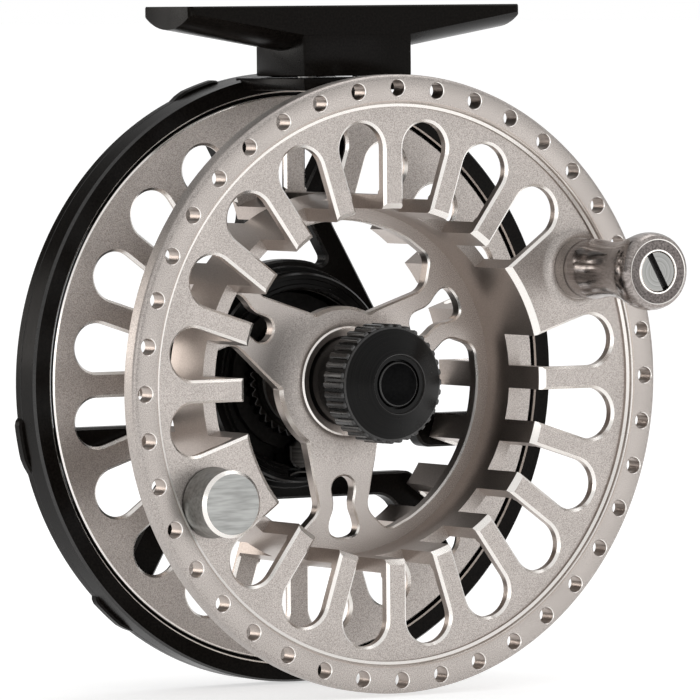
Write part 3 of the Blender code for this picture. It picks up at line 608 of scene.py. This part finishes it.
def arm_window():
    """Keyhole window along an arm: round inner end, slim neck, wide outer end."""
    upper = [(16.2, 0.0), (16.45, 1.1), (17.2, 1.95), (18.2, 2.25), (19.4, 2.1), (20.6, 1.9),
             (22.0, 2.05), (23.4, 2.6), (24.8, 2.9), (26.0, 2.5), (26.6, 1.3), (26.75, 0.0)]
    side = flowing(upper, 4)
    return side[1:-1] + [(x, -y) for x, y in reversed(side)]


openings = [turn(arm_gap(), a + 60) for a in ARMS] + [turn(arm_window(), a) for a in ARMS]
holes = [circle(polar(HOLE_CIRCLE, 360 / RIM_HOLES * i), HOLE_R, 28) for i in range(RIM_HOLES)]
TWO_CHAMFERS = [WALL, BRIGHT, WALL, BRIGHT, WALL]
join(spool, mill("spider_openings", openings, [(17.4, 0.9), (18.3, 0), (20.1, 0), (21.0, 0.9)],
                 SILVER, TWO_CHAMFERS))
join(spool, mill("rim_holes", holes, [(-0.5, 0.62), (0.12, 0), (3.3, 0), (4.0, 0.7)],
                 SILVER, TWO_CHAMFERS))
join(spool, mill("drive_sockets", [circle(polar(PIN_CIRCLE, a), 1.3, 24) for a in (90, 210, 330)],
                 [(26.8, 0), (30.5, 0)], SILVER, [WALL] * 3))
for at, bore, head in ((HANDLE_AT, 2.5, 3.9), (WEIGHT_AT, 1.7, 2.8)):
    join(spool, mill("post_hole", [circle(at, bore, 40)], [(-1, 0), (4.5, 0)], SILVER, [WALL] * 3))
    join(spool, mill("head_recess", [circle(at, head, 48)], [(2.5, 0), (4.5, 0)], SILVER, [WALL] * 3))
cove = [(7.1, 1.38), (6.5, 1.3), (6.0, 1.1), (5.6, 0.8), (5.32, 0.42), (5.2, 0.02)]
join(spool, lathe("handle_cove", [(2.5, 0.02, SKIN)] + [(r, d, SKIN) for r, d in reversed(cove)]
                  + [(7.1, 2.0, SKIN), (2.5, 2.0, WALL)], SILVER, 72, HANDLE_AT), "UNION")
hand_over(spool, "spool", ["spool"])


# %% [markdown]
# ## Handle and counterweight
# The handle is a turned knob, waisted and flared to a rolled end, that spins on a post riveted
# into the flange. Opposite it a plain brushed slug keeps the spool in balance. Both are spun
# about their own axes; the knob's finish is stretched along its length, as polishing streaks are.

# %% Finishes that run along the handle
def at_row(centre):
    """A point of the spool's face in the row frame, in metres."""
    return ABOUT_SPOOL @ Vector((*centre, 0))


POLISHED = make_finish("polished_handle", ((0.25, 0.22, 0.205), (0.43, 0.39, 0.37)), (0.15, 0.22), 1.0,
                       GRAIN, 3600.0, 0.0012, centre=at_row(HANDLE_AT), stretch=(1, 0.02, 1))
HANDLE_END_DARK = make_finish("handle_end_grain", ((0.07, 0.06, 0.056), (0.24, 0.21, 0.20)),
                              (0.4, 0.55), 0.6, GRAIN, 3200.0, 0.02, centre=at_row(HANDLE_AT))
BRUSHED = make_finish("brushed_slug", ((0.27, 0.272, 0.262), (0.40, 0.402, 0.39)), (0.34, 0.44), 1.0,
                      GRAIN, 1400.0, 0.006, centre=at_row(WEIGHT_AT), stretch=(0.12, 1, 1))
SCREW_STEEL = make_finish("screw_steel", ((0.22, 0.22, 0.212), (0.34, 0.34, 0.33)), (0.3, 0.4), 1.0,
                          LATHE_MARKS, 4200.0, 0.003, centre=at_row(HANDLE_AT))


# %% Counterweight
weight = lathe("counterweight_slug", [
    (0, -5.0, 0), (5.05, -5.0, 1), (5.63, -4.45, 0), (5.63, -0.6, 0), (5.72, 0.3, 0), (5.93, 1.05, 0),
    (1.7, 1.05, 0), (1.7, -2.5, 0), (0, -2.5, 0)], (BRUSHED, EDGE), 96, WEIGHT_AT)
hand_over(weight, "spool", ["counterweight"])


# %% Post, knob and screw
def screw_slot(centre, half_width, angle):
    """Outline of a screwdriver slot across a head, longer than any head is wide."""
    reach = 5
    corners = [(-reach, -half_width), (reach, -half_width), (reach, half_width), (-reach, half_width)]
    return [(centre[0] + x, centre[1] + y) for x, y in turn(corners, angle)]


post = lathe("handle_pillar", [
    (0, -12, 1), (1.3, -12, 1), (1.3, -20.4, 1), (2.2, -20.4, 1), (2.2, -1.2, 1), (4.55, -1.2, 1),
    (4.55, -2.3, 0), (4.95, -2.3, 0), (5.1, -0.05, 0), (2.2, -0.05, 1), (2.2, 2.8, 1), (3.6, 2.8, 1),
    (3.6, 3.5, 1), (0, 3.5, 1)], (BLASTED, STEEL), 72, HANDLE_AT)
hand_over(post, "spool", ["handle_post"])

END = -23.5
barrel = flowing([(6.35, END + 1.0), (6.55, END + 2.0), (6.5, END + 3.6), (6.0, END + 5.6),
                  (5.2, END + 8.4), (4.75, END + 11.6), (4.7, END + 14.4), (4.95, END + 16.6),
                  (5.05, END + 17.4)], 5)
knob = lathe("handle_barrel", [
    (3.42, END + 0.2, 2), (3.5, END, 2), (3.7, END, 2), (3.78, END + 0.12, 1), (5.35, END + 0.12, 2),
    (5.5, END + 0.04, 0), (6.05, END + 0.4, 0)] + [(r, d, 0) for r, d in barrel] + [
    (5.1, END + 18.1, 0), (5.1, END + 20.7, 0), (4.95, -2.5, 0), (2.5, -2.5, 0), (2.5, -21.2, 0),
    (3.42, -21.2, 0)], (POLISHED, HANDLE_END_DARK, EDGE), 120, HANDLE_AT)
hand_over(knob, "handle", ["handle_knob"])
thin_washer = lathe("handle_washer_ring", [(2.5, -2.2), (4.3, -2.2), (4.3, -1.5), (2.5, -1.5)],
                    (ACETAL,), 60, HANDLE_AT)
hand_over(thin_washer, "handle", ["handle_washer"])

screw = lathe("handle_screw_head", [
    (0, END + 0.15, 0), (3.25, END + 0.15, 1), (3.32, END + 0.25, 0), (3.32, -21.6, 0), (1.0, -21.6, 0),
    (1.0, -13.5, 0), (0, -13.5, 0)], (SCREW_STEEL, EDGE), 60, HANDLE_AT)
# The slot's faces take the near-black edge finish: painted shade inside the steel screw's slot.
join(screw, mill("driver_slot", [screw_slot(HANDLE_AT, 0.6, -61)], [(END - 1, 0), (END + 1.1, 0)],
                 (WORN_EDGE_AND_SLOT_SHADE,)))
hand_over(screw, "spool", ["handle_screw"])


# %% [markdown]
# ## Spool cap
# A knurled cap screws onto the hub and holds the spool on its spindle. Its grip is a ring of
# straight ribs, each a flat land with a groove beside it, and its front falls away in a cone to a
# polished ring and a round button.

# %% Cap, ribs and button
cap = lathe("cap_body", [
    (0, 1.7), (4.2, 1.7), (4.2, 0.6), (4.85, 0.55, 1), (5.0, 0.12, 1), (5.12, 0.04), (9.3, 2.3, 1),
    (9.6, 2.5), (9.6, 8.6), (7.7, 8.9), (7.7, 16.7), (5.6, 16.7), (5.6, 15.2), (3.3, 15.2), (3.3, 2.5),
    (0, 2.5)], (CAP_BLACK, WORN_EDGE_AND_SLOT_SHADE), 108)
RIBS = 36
RIB = [(9.5, -3.9), (9.95, -2.7), (10.1, -1.7), (10.12, 0), (10.1, 1.7), (9.95, 2.7), (9.5, 3.9)]
ribbed = [polar(radius, 360 / RIBS * i + angle) for i in range(RIBS) for radius, angle in RIB]
grip = mill("cap_ribs", [ribbed], [(2.62, -0.2), (2.85, 0), (8.1, 0), (8.4, -0.2)],
            (RIBBED, WORN_EDGE_AND_SLOT_SHADE), [1, 1, 0, 1, 1])
join(cap, grip, "UNION")
hand_over(cap, "cap", ["spool_cap"])
seal = lathe("cap_seal_ring", [(5.7, 16.78), (7.4, 16.78), (7.4, 17.02), (5.7, 17.02)], (BRONZE,), 72)
hand_over(seal, "cap", ["cap_washer"])
button = lathe("cap_button_disc", [
    (0, 0.4), (3.55, 0.4, 1), (3.65, 0.43, 1), (3.8, 0.56), (3.9, 0.8), (3.9, 1.4), (0, 1.4)],
    (ACETAL, WORN_EDGE_AND_SLOT_SHADE), 72)
hand_over(button, "cap", ["cap_button"])


# %% [markdown]
# ## Frame
# The frame is milled from one billet too: a slim ring round the rear flange, a back plate with
# three straight sides, and pairs of legs that run out to the ring like the arms of a star. A
# bridge on top carries the foot, and small lugs on the rim mark where the legs meet it.

# %% Frame sizes and outlines
RING_R, RING_BORE, RING_LIP = 52.15, 48.9, 48.0
RING_FRONT, RING_STEP, PLATE_FRONT, FRAME_BACK = 32.4, 34.1, 35.0, 38.8
SIDE_OFFSET, WINDOW_OFFSET, LEG_ANGLE, LEG_HALF = 20.9, 17.0, 18, 2.9
CORNERS = (90, 210, 330)
LUG_SPREAD, LUG_HEIGHT = 18.9, 0.66
SCREW_X, SCREW_DEPTH = 5.5, 20.05
HOUSING_R, HOUSING_BORE, HOUSING_NECK = 18.0, 15.1, 16.7


def leg_side(offset, reach):
    """A point on one side of a leg where it meets radius reach, the leg's start and its direction."""
    middle = polar(RING_BORE, LEG_ANGLE)
    along = (cos(radians(30)), sin(radians(30)))
    start = (middle[0] - along[1] * offset, middle[1] + along[0] * offset)
    dot = start[0] * along[0] + start[1] * along[1]
    run = -dot + sqrt(dot * dot - start[0] ** 2 - start[1] ** 2 + reach * reach)
    return (start[0] + along[0] * run, start[1] + along[1] * run), start, along


def meet(start, along, offset):
    """Where the line from start meets the plate's side."""
    side = (0.5, cos(radians(30)))
    run = (offset - start[0] * side[0] - start[1] * side[1]) / (along[0] * side[0] + along[1] * side[1])
    return start[0] + along[0] * run, start[1] + along[1] * run


def corner_window(reach):
    """The opening between the two legs of a corner, with its narrow waist."""
    rim, start, along = leg_side(-LEG_HALF, reach)
    waist = meet(start, along, WINDOW_OFFSET)
    edge = HOUSING_R + 2.2
    inner_angle = 60 - degrees(acos(WINDOW_OFFSET / edge))
    half = [(*polar(edge, inner_angle), 1.2), (*waist, 2.5), (*rim, 0.6)]
    rim_angle = degrees(atan2(rim[1], rim[0]))
    rim_arc = [(*p, 0) for p in arc((0, 0), reach, rim_angle, -rim_angle, 30)[1:-1]]
    inner_arc = [(*p, 0) for p in arc((0, 0), edge, -inner_angle, inner_angle, 16)[4:-4]]
    return filleted(half + rim_arc + [(x, -y, r) for x, y, r in reversed(half)] + inner_arc)


def side_opening(reach):
    """The large opening between two corners, centred on local +x."""
    rim, start, along = leg_side(LEG_HALF, reach)
    rim, root = turn([rim, meet(start, along, SIDE_OFFSET)], -60)
    rim_angle = -degrees(atan2(rim[1], rim[0]))
    rim_arc = [(*p, 0) for p in arc((0, 0), reach, -rim_angle, rim_angle, 60)[1:-1]]
    half = [(*root, 5.0), (*rim, 0.6)]
    return filleted(half + rim_arc + [(x, -y, r) for x, y, r in reversed(half)], 12)


# %% Ring, plate, lugs and bridge
DARK = (BLACK, WORN_EDGE_AND_SLOT_SHADE, EDGE)
body = lathe("frame_body", [
    (RING_BORE + 0.25, RING_FRONT, 0), (RING_R - 0.35, RING_FRONT, 1), (RING_R, RING_FRONT + 0.5, 0),
    (RING_R, 36.7, 1), (RING_R - 0.14, 36.76, 1), (RING_R - 0.14, 36.9, 1), (RING_R, 36.96, 0),
    (RING_R, FRAME_BACK - 0.3, 1), (RING_R - 0.3, FRAME_BACK, 0), (RING_LIP + 0.3, FRAME_BACK, 1),
    (RING_LIP, FRAME_BACK - 0.3, 0), (RING_LIP, RING_STEP, 0), (RING_BORE, RING_STEP, 0),
    (RING_BORE, RING_FRONT + 0.25, 2)], DARK, 288)
plate_r, plate_back = RING_BORE + 1.6, FRAME_BACK - 0.3
plate = lathe("back_plate", [
    (HOUSING_NECK + 0.3, PLATE_FRONT, 0), (plate_r, PLATE_FRONT, 0), (plate_r, plate_back, 0),
    (HOUSING_NECK + 0.3, plate_back, 0)], DARK, 192)
windows = []
for corner in CORNERS:
    windows.append(turn(corner_window(RING_BORE + 0.9), corner))
    windows.append(turn(side_opening(RING_BORE + 0.9), corner + 60))
join(plate, mill("plate_windows", windows, [(34.2, 1.2), (35.4, 0), (38.1, 0), (39.2, 1.1)], DARK,
                 [0, 1, 0, 1, 0]))
print("plate faces:", len(plate.data.polygons))
join(body, plate, "UNION")
print("ring and plate faces:", len(body.data.polygons))
lugs = []
for corner in CORNERS:
    for side in (-LUG_SPREAD, LUG_SPREAD):
        middle = corner + side
        lugs.append([polar(RING_R - 0.9, middle - 5.4), polar(RING_R - 0.05, middle - 5.2),
                     polar(RING_R + 0.4, middle - 4.7)]
                    + arc((0, 0), RING_R + LUG_HEIGHT, middle - 3.9, middle + 2.4, 10)
                    + [polar(RING_R + 0.4, middle + 4.0), polar(RING_R - 0.05, middle + 5.6),
                       polar(RING_R - 0.9, middle + 5.8)])
join(body, mill("rim_lugs", lugs, [(36.75, -0.3), (37.2, 0), (38.6, 0), (38.78, -0.15)], DARK), "UNION")
join(body, bar("bridge", (-10.7, 49.3, -34.5), (10.7, 51.4, -12.3), DARK, 0.25), "UNION")
for x in (-SCREW_X, SCREW_X):
    hole = lathe("screw_hole", [(0, -60), (1.8, -60), (1.8, -50.5), (2.8, -50.5), (2.8, -40), (0, -40)],
                 DARK, 40)
    hole.data.transform(Matrix.Translation((x, 0, -SCREW_DEPTH)) @ Matrix.Rotation(-pi / 2, 4, "X"))
    join(body, hole)
hand_over(body, "frame", ["frame"])


# %% [markdown]
# ## Reel foot
# The foot is one standard size, so that it fits any rod: a flat top, an underside arched to the
# rod's curve, and ends that thin to a slim edge with rounded corners. It is swept along x, the
# section getting deeper towards the stand. The stand is a square block set into it.

# %% Foot, stand and screws
FOOT_HALF, FOOT_WIDE, FOOT_ARCH, STAND_HALF = 33.0, 7.75, 12.5, 10.7
RIDGE_AT_END, RIDGE_AT_STAND, EASED = 3.9, 7.6, 0.25


def foot_section(x, ridge, half_width):
    """Section of the foot at x: eased flat top, arched underside that is ridge deep in the middle."""
    under, steps = [], 24
    for i in range(steps + 1):
        y = half_width * (1 - 2 * i / steps)
        under.append((x, y, FOOT_ARCH - sqrt(FOOT_ARCH ** 2 - y * y) - ridge))
    return under + [(x, -half_width, -EASED), (x, -half_width + EASED, 0),
                    (x, half_width - EASED, 0), (x, half_width, -EASED)]


def foot_ridge(x):
    """Depth of the foot's ridge at x."""
    deeper = (RIDGE_AT_STAND - RIDGE_AT_END) * (FOOT_HALF - abs(x)) / (FOOT_HALF - STAND_HALF)
    return RIDGE_AT_END + deeper


ends = [(-FOOT_HALF, 1.1), (-32.93, 0.7), (-32.7, 0.35), (-32.3, 0.1), (-31.9, 0.0), (-STAND_HALF, 0.0)]
stations = [(x, FOOT_WIDE - cut) for x, cut in ends]
stations += [(-x, wide) for x, wide in reversed(stations)]
shaping = bmesh.new()
sweep(shaping, [foot_section(x, foot_ridge(x), wide) for x, wide in stations], [0] * (len(stations) + 1))
bmesh.ops.recalc_face_normals(shaping, faces=shaping.faces)
foot = link_mesh("rod_foot", shaping, DARK)
stand_base, stand_side = 51.7 - AXIS_DROP, FOOT_WIDE - 0.02
stand = bar("stand", (-STAND_HALF, -stand_side, stand_base), (STAND_HALF, stand_side, -2.0), DARK, EASED)
join(foot, stand, "UNION")
for x in (-SCREW_X, SCREW_X):
    tapped = [(r, AXIS_DROP - h) for r, h in ((0, 59), (1.8, 59), (1.8, 45), (0, 45))]
    join(foot, lathe("thread", tapped, DARK, 40, (x, 0)))
hand_over(foot, "frame", ["reel_foot"], UNDER_ROD)
for name, x in (("foot_screw_left", -SCREW_X), ("foot_screw_right", SCREW_X)):
    heights = [(0, 58), (1.5, 58), (1.5, 50.2), (2.5, 50.2), (2.5, 49.6), (2.3, 49.4), (0, 49.4)]
    fastener = lathe(name + "_turned", [(r, AXIS_DROP - h) for r, h in heights], (STEEL,), 40, (x, 0))
    hand_over(fastener, "frame", [name], UNDER_ROD)


# %% [markdown]
# ## Drag housing, spindle and ratchet
# Behind the spider's arms a black cup holds the drag, with thin turned rings that catch the
# light. The steel spindle stands in it, and a ratchet wheel turns against a small sprung pawl.

# %% Housing and spindle
TURNED = (BLACK_TURNED, WORN_EDGE_AND_SLOT_SHADE)
housing = lathe("housing_cup", [
    (HOUSING_BORE, 31.5, 1), (HOUSING_BORE + 0.4, 31.0, 0), (16.0, 31.0, 1), (16.15, 31.35, 0),
    (16.85, 31.35, 1), (17.0, 31.0, 0), (HOUSING_R - 0.35, 31.0, 1), (HOUSING_R, 31.35, 0),
    (HOUSING_R, 34.1, 1), (18.25, 34.45, 0), (18.9, 34.45, 1), (19.15, 34.7, 0),
    (HOUSING_NECK, 34.7, 0), (HOUSING_NECK, 42.6, 1), (HOUSING_NECK - 0.4, 43.0, 0), (4.3, 43.0, 0),
    (4.3, 40.6, 0), (HOUSING_BORE, 40.6, 0), (HOUSING_BORE, 33.4, 1), (HOUSING_BORE + 0.35, 33.2, 1),
    (HOUSING_BORE + 0.35, 32.8, 1), (HOUSING_BORE, 32.6, 0)], TURNED, 192)
join(housing, bar("pawl_shelf", (-3.6, -15.6, -34.7), (3.6, -12.9, -33.7), TURNED), "UNION")
join(housing, mill("pawl_pocket", [[(-2.65, -16.9), (2.65, -16.9), (2.65, -14.4), (-2.65, -14.4)]],
                   [(30, 0), (33.7, 0)], TURNED))
join(housing, mill("thrust_holes", [circle(polar(11.0, a), 1.5, 32) for a in CORNERS],
                   [(39.6, 0), (44, 0)], TURNED))
hand_over(housing, "frame", ["drag_housing"])
spindle = lathe("spindle_shaft", [
    (0, 2.8), (2.5, 2.8, 1), (3.0, 3.3), (3.0, 37.0), (6.8, 37.0), (6.8, 40.3), (4.0, 40.3),
    (4.0, 49.2, 1), (3.7, 49.5), (1.9, 49.5), (1.9, 43.0), (0, 43.0)], (STEEL, EDGE), 72)
hand_over(spindle, "frame", ["spindle"])


# %% Ratchet wheel and pawl
# Wheel and pawl take the near-black steel, its dark tone painted recess shade.
RECESS_SHADED_PAIR = (RECESS_SHADED_STEEL, WORN_EDGE_AND_SLOT_SHADE)
TEETH, FIRST_TOOTH = 36, 275
TOOTH = [(10.2, -1.2), (10.2, 1.2), (9.4, 5)]
wheel = lathe("ratchet_hub", [
    (5.7, 30.0), (8.1, 30.0, 1), (8.4, 30.3), (8.4, 32.0), (7.6, 32.0), (7.6, 36.6), (5.7, 36.6)],
    RECESS_SHADED_PAIR, 72)
teeth = [polar(radius, FIRST_TOOTH + 360 // TEETH * i + angle)
         for i in range(TEETH) for radius, angle in TOOTH]
rim = mill("ratchet_teeth", [teeth], [(31.2, -0.12), (31.35, 0), (33.25, 0), (33.4, -0.12)], RECESS_SHADED_PAIR,
           [0, 1, 0, 1, 0])
join(rim, mill("ratchet_bore", [circle((0, 0), 6.6, 48)], [(30, 0), (35, 0)], (RECESS_SHADED_STEEL,)))
join(wheel, rim, "UNION")
join(wheel, mill("pin_sockets", [circle(polar(PIN_CIRCLE, a), 1.2, 24) for a in CORNERS],
                 [(29, 0), (32, 0)], (RECESS_SHADED_STEEL,)))
hand_over(wheel, "rotor", ["ratchet_wheel"])
tip = [(0.25, -9.75), (1.6, -11.3), (2.3, -11.6)]
pawl_outline = tip + arc((0, -13.3), 2.3, 0, -180, 32)[1:-1] + [(-x, y) for x, y in reversed(tip)]
pawl = mill("pawl_plate", [pawl_outline], [(31.2, -0.25), (31.45, 0), (33.15, 0), (33.4, -0.25)],
            RECESS_SHADED_PAIR, [0, 1, 0, 1, 0])
hand_over(pawl, "click_pawl", ["click_pawl"])


# %% [markdown]
# ## Drag knob
# At the back a scalloped knob screws over the housing and sets the drag. Its grip is one wavy
# outline, swept with an eased edge at each end and then bored out; a slotted steel screw holds it.

# %% Knob, nut and screw
KNOB_R, KNOB_FRONT, KNOB_BACK = 15.5, 43.4, 53.0
LOBES, WAVE_STEPS, HALF_WAVE = 12, 240, 0.45
wave = [polar(KNOB_R - HALF_WAVE * (1 + cos(LOBES * 2 * pi * i / WAVE_STEPS)), 360 / WAVE_STEPS * i)
        for i in range(WAVE_STEPS)]
drag = mill("drag_knob_grip", [wave], [
    (KNOB_FRONT, -0.9), (KNOB_FRONT + 0.5, -0.3), (KNOB_FRONT + 1.1, 0), (51.0, 0), (52.0, -0.4),
    (52.7, -1.1), (KNOB_BACK, -2.0)], (BLACK, WORN_EDGE_AND_SLOT_SHADE), [0, 1, 0, 0, 0, 0, 1, 0])
bore = lathe("knob_bore", [
    (0, 42), (13.3, 42), (13.8, 43.9), (13.8, 49.9), (2.0, 49.9), (2.0, 51.3), (4.6, 51.3),
    (4.6, 52.7), (4.9, KNOB_BACK), (4.9, 54), (0, 54)], TURNED, 120)
join(drag, bore)
rings = lathe("knob_rings", [(10.6, 52.8), (11.2, 52.8), (11.2, 54), (10.6, 54)], TURNED, 120)
join(drag, rings)
hand_over(drag, "drag_knob", ["drag_knob"])
nut = mill("clamping_nut", [circle((0, 0), 6.6, 6)],
           [(43.3, -0.35), (43.65, 0), (45.65, 0), (46.0, -0.35)], (STEEL, EDGE), [0, 1, 0, 1, 0])
join(nut, mill("nut_bore", [circle((0, 0), 4.3, 48)], [(42, 0), (47, 0)], (STEEL,)))
hand_over(nut, "frame", ["spindle_nut"])
knob_screw = lathe("knob_screw_turned", [
    (0, 43.6), (1.6, 43.6), (1.6, 51.6), (4.0, 51.6, 1), (4.2, 51.8), (4.2, 52.6, 1), (4.0, 52.8),
    (0, 52.8)], (STEEL, EDGE), 60)
# The slot's faces take the near-black edge finish: painted shade inside the steel screw's slot.
join(knob_screw, mill("back_driver_slot", [screw_slot((0, 0), 0.45, 20)], [(52.0, 0), (54, 0)],
                      (WORN_EDGE_AND_SLOT_SHADE,)))
hand_over(knob_screw, "frame", ["knob_screw"])


# %% [markdown]
# ## Small inner parts
# The washers, pins, springs and bushes between these pieces already have their true shape in the
# fixed frame. They only need their look, so each keeps its own mesh and takes a finish.

# %% Finish the carried-over parts
# Inside the housing the lining and the near-black steel carry painted shade in their tones.
inner_finish = {"front_bush": BRONZE, "rear_bush": BRONZE, "thrust_ring": BRONZE,
                "friction_washer": LINING_TONED_AS_SHADE, "pressure_disc": LINING_TONED_AS_SHADE, "roller_clutch": RECESS_SHADED_STEEL,
                "click_spring": RECESS_SHADED_STEEL, "drive_pin_top": RECESS_SHADED_STEEL,
                "drive_pin_left": RECESS_SHADED_STEEL, "drive_pin_right": RECESS_SHADED_STEEL}
for name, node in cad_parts.items():
    if not node.hide_render:
        node.data.materials.clear()
        node.data.materials.append(inner_finish.get(name, STEEL))
        print("carried over:", name)


# %% [markdown]
# ## Studio
# A tent of white light suits polished metal: the metal mirrors the tent, so the tent's own tones
# become the metal's. One side of the tent is darker, as a flag makes it, so that the metal keeps
# some contrast. The camera stands a little above the axis, on the handle side, with a long lens.
# The floor is pale and plain.

# %% Camera
def aim_camera(azimuth, elevation, roll, distance, aside, below, lens):
    """A camera round the spool's front face; aside and below shift it in its own plane, in metres."""
    a, e = radians(azimuth), radians(elevation)
    back = Vector((sin(a) * cos(e), -cos(a) * cos(e), sin(e)))
    level = (-back).cross(Vector((0, 0, 1))).normalized()
    upright = level.cross(-back)
    right = cos(radians(roll)) * level + sin(radians(roll)) * upright
    up = cos(radians(roll)) * upright - sin(radians(roll)) * level
    camera = bpy.data.objects.new("camera", bpy.data.cameras.new("camera"))
    camera.data.lens = lens
    camera.data.clip_start = 0.1
    camera.data.clip_end = 100
    place = FRONT_CENTRE + back * distance - right * aside - up * below
    camera.matrix_world = Matrix.Translation(place) @ Matrix((right, up, back)).transposed().to_4x4()
    bpy.context.scene.collection.objects.link(camera)
    bpy.context.scene.camera = camera
    return camera


camera = aim_camera(azimuth=-32.4, elevation=2.54, roll=-0.46, distance=1.3207,
                    aside=0.00842, below=-0.00579, lens=405.03)
print("camera at", [round(c, 3) for c in camera.location])


# %% Floor, tent and lamps
def lamp(name, place, size, energy, colour=(1, 1, 1)):
    """A square soft box that faces the reel."""
    light = bpy.data.lights.new(name, "AREA")
    light.size = size
    light.energy = energy
    light.color = colour
    holder = bpy.data.objects.new(name, light)
    holder.location = place
    holder.rotation_euler = (FRONT_CENTRE - Vector(place)).to_track_quat("-Z", "Y").to_euler()
    bpy.context.scene.collection.objects.link(holder)


floor_mesh = bmesh.new()
bmesh.ops.create_circle(floor_mesh, cap_ends=True, radius=40, segments=64)
bmesh.ops.translate(floor_mesh, vec=(0, 0, cad_low.z - 0.0003), verts=floor_mesh.verts)
pale = bpy.data.materials.new("pale_floor")
pale.use_nodes = True
pale_shader = pale.node_tree.nodes["Principled BSDF"]
dial(pale_shader, {"Base Color": (0.6, 0.6, 0.6, 1), "Roughness": 0.9, "Specular IOR Level": 0.1,
                   "Emission Color": (1, 1, 1, 1), "Emission Strength": 0.6})
floor = link_mesh("floor", floor_mesh, [pale])

world = bpy.data.worlds.new("white_tent")
world.use_nodes = True
bpy.context.scene.world = world
sky = world.node_tree
direction = sky.nodes.new("ShaderNodeTexCoord")
parts = sky.nodes.new("ShaderNodeSeparateXYZ")
raise_up = sky.nodes.new("ShaderNodeMapRange")
dial(raise_up, {"From Min": -1, "From Max": 1})
height = sky.nodes.new("ShaderNodeValToRGB")
height.color_ramp.elements[0].position = 0.35
height.color_ramp.elements[0].color = (0.5, 0.495, 0.49, 1)
height.color_ramp.elements[1].position = 0.8
height.color_ramp.elements[1].color = (0.85, 0.85, 0.85, 1)
toward_flag = sky.nodes.new("ShaderNodeVectorMath")
toward_flag.operation = "DOT_PRODUCT"
toward_flag.inputs[1].default_value = (-0.53, 0.84, 0.0)
flag = sky.nodes.new("ShaderNodeMapRange")
flag.interpolation_type = "SMOOTHSTEP"
dial(flag, {"From Min": 0.35, "From Max": 0.9, "To Min": 1.0, "To Max": 0.15})
shade = sky.nodes.new("ShaderNodeVectorMath")
shade.operation = "SCALE"
path = sky.nodes.new("ShaderNodeLightPath")
seen = sky.nodes.new("ShaderNodeMix")
seen.data_type = "RGBA"
seen_colours = [s for s in seen.inputs if s.type == "RGBA"]
seen_colours[1].default_value = (1.0, 1.0, 1.0, 1)
wire(sky, [
    (direction.outputs["Generated"], parts.inputs["Vector"]),
    (parts.outputs["Z"], raise_up.inputs["Value"]),
    (raise_up.outputs["Result"], height.inputs["Fac"]),
    (height.outputs["Color"], shade.inputs[0]),
    (direction.outputs["Generated"], toward_flag.inputs[0]),
    (toward_flag.outputs["Value"], flag.inputs["Value"]),
    (flag.outputs["Result"], shade.inputs["Scale"]),
    (shade.outputs["Vector"], seen_colours[0]),
    (path.outputs["Is Camera Ray"], seen.inputs["Factor"]),
    ([s for s in seen.outputs if s.type == "RGBA"][0], sky.nodes["Background"].inputs["Color"]),
])
sky.nodes["Background"].inputs["Strength"].default_value = 1.0
lamp("top_box", (0.5, 0.2, 1.1), 0.8, 2.6)
lamp("near_box", (0.16, -0.33, -0.115), 0.2, 0.15)
lamp("rear_left_box", (-1.0, 1.2, 0.25), 0.6, 4.5, (1.0, 0.96, 0.92))
lamp("left_box", (-1.3, -0.75, 0.0), 0.8, 2.5)
bpy.context.scene.view_settings.view_transform = "Standard"
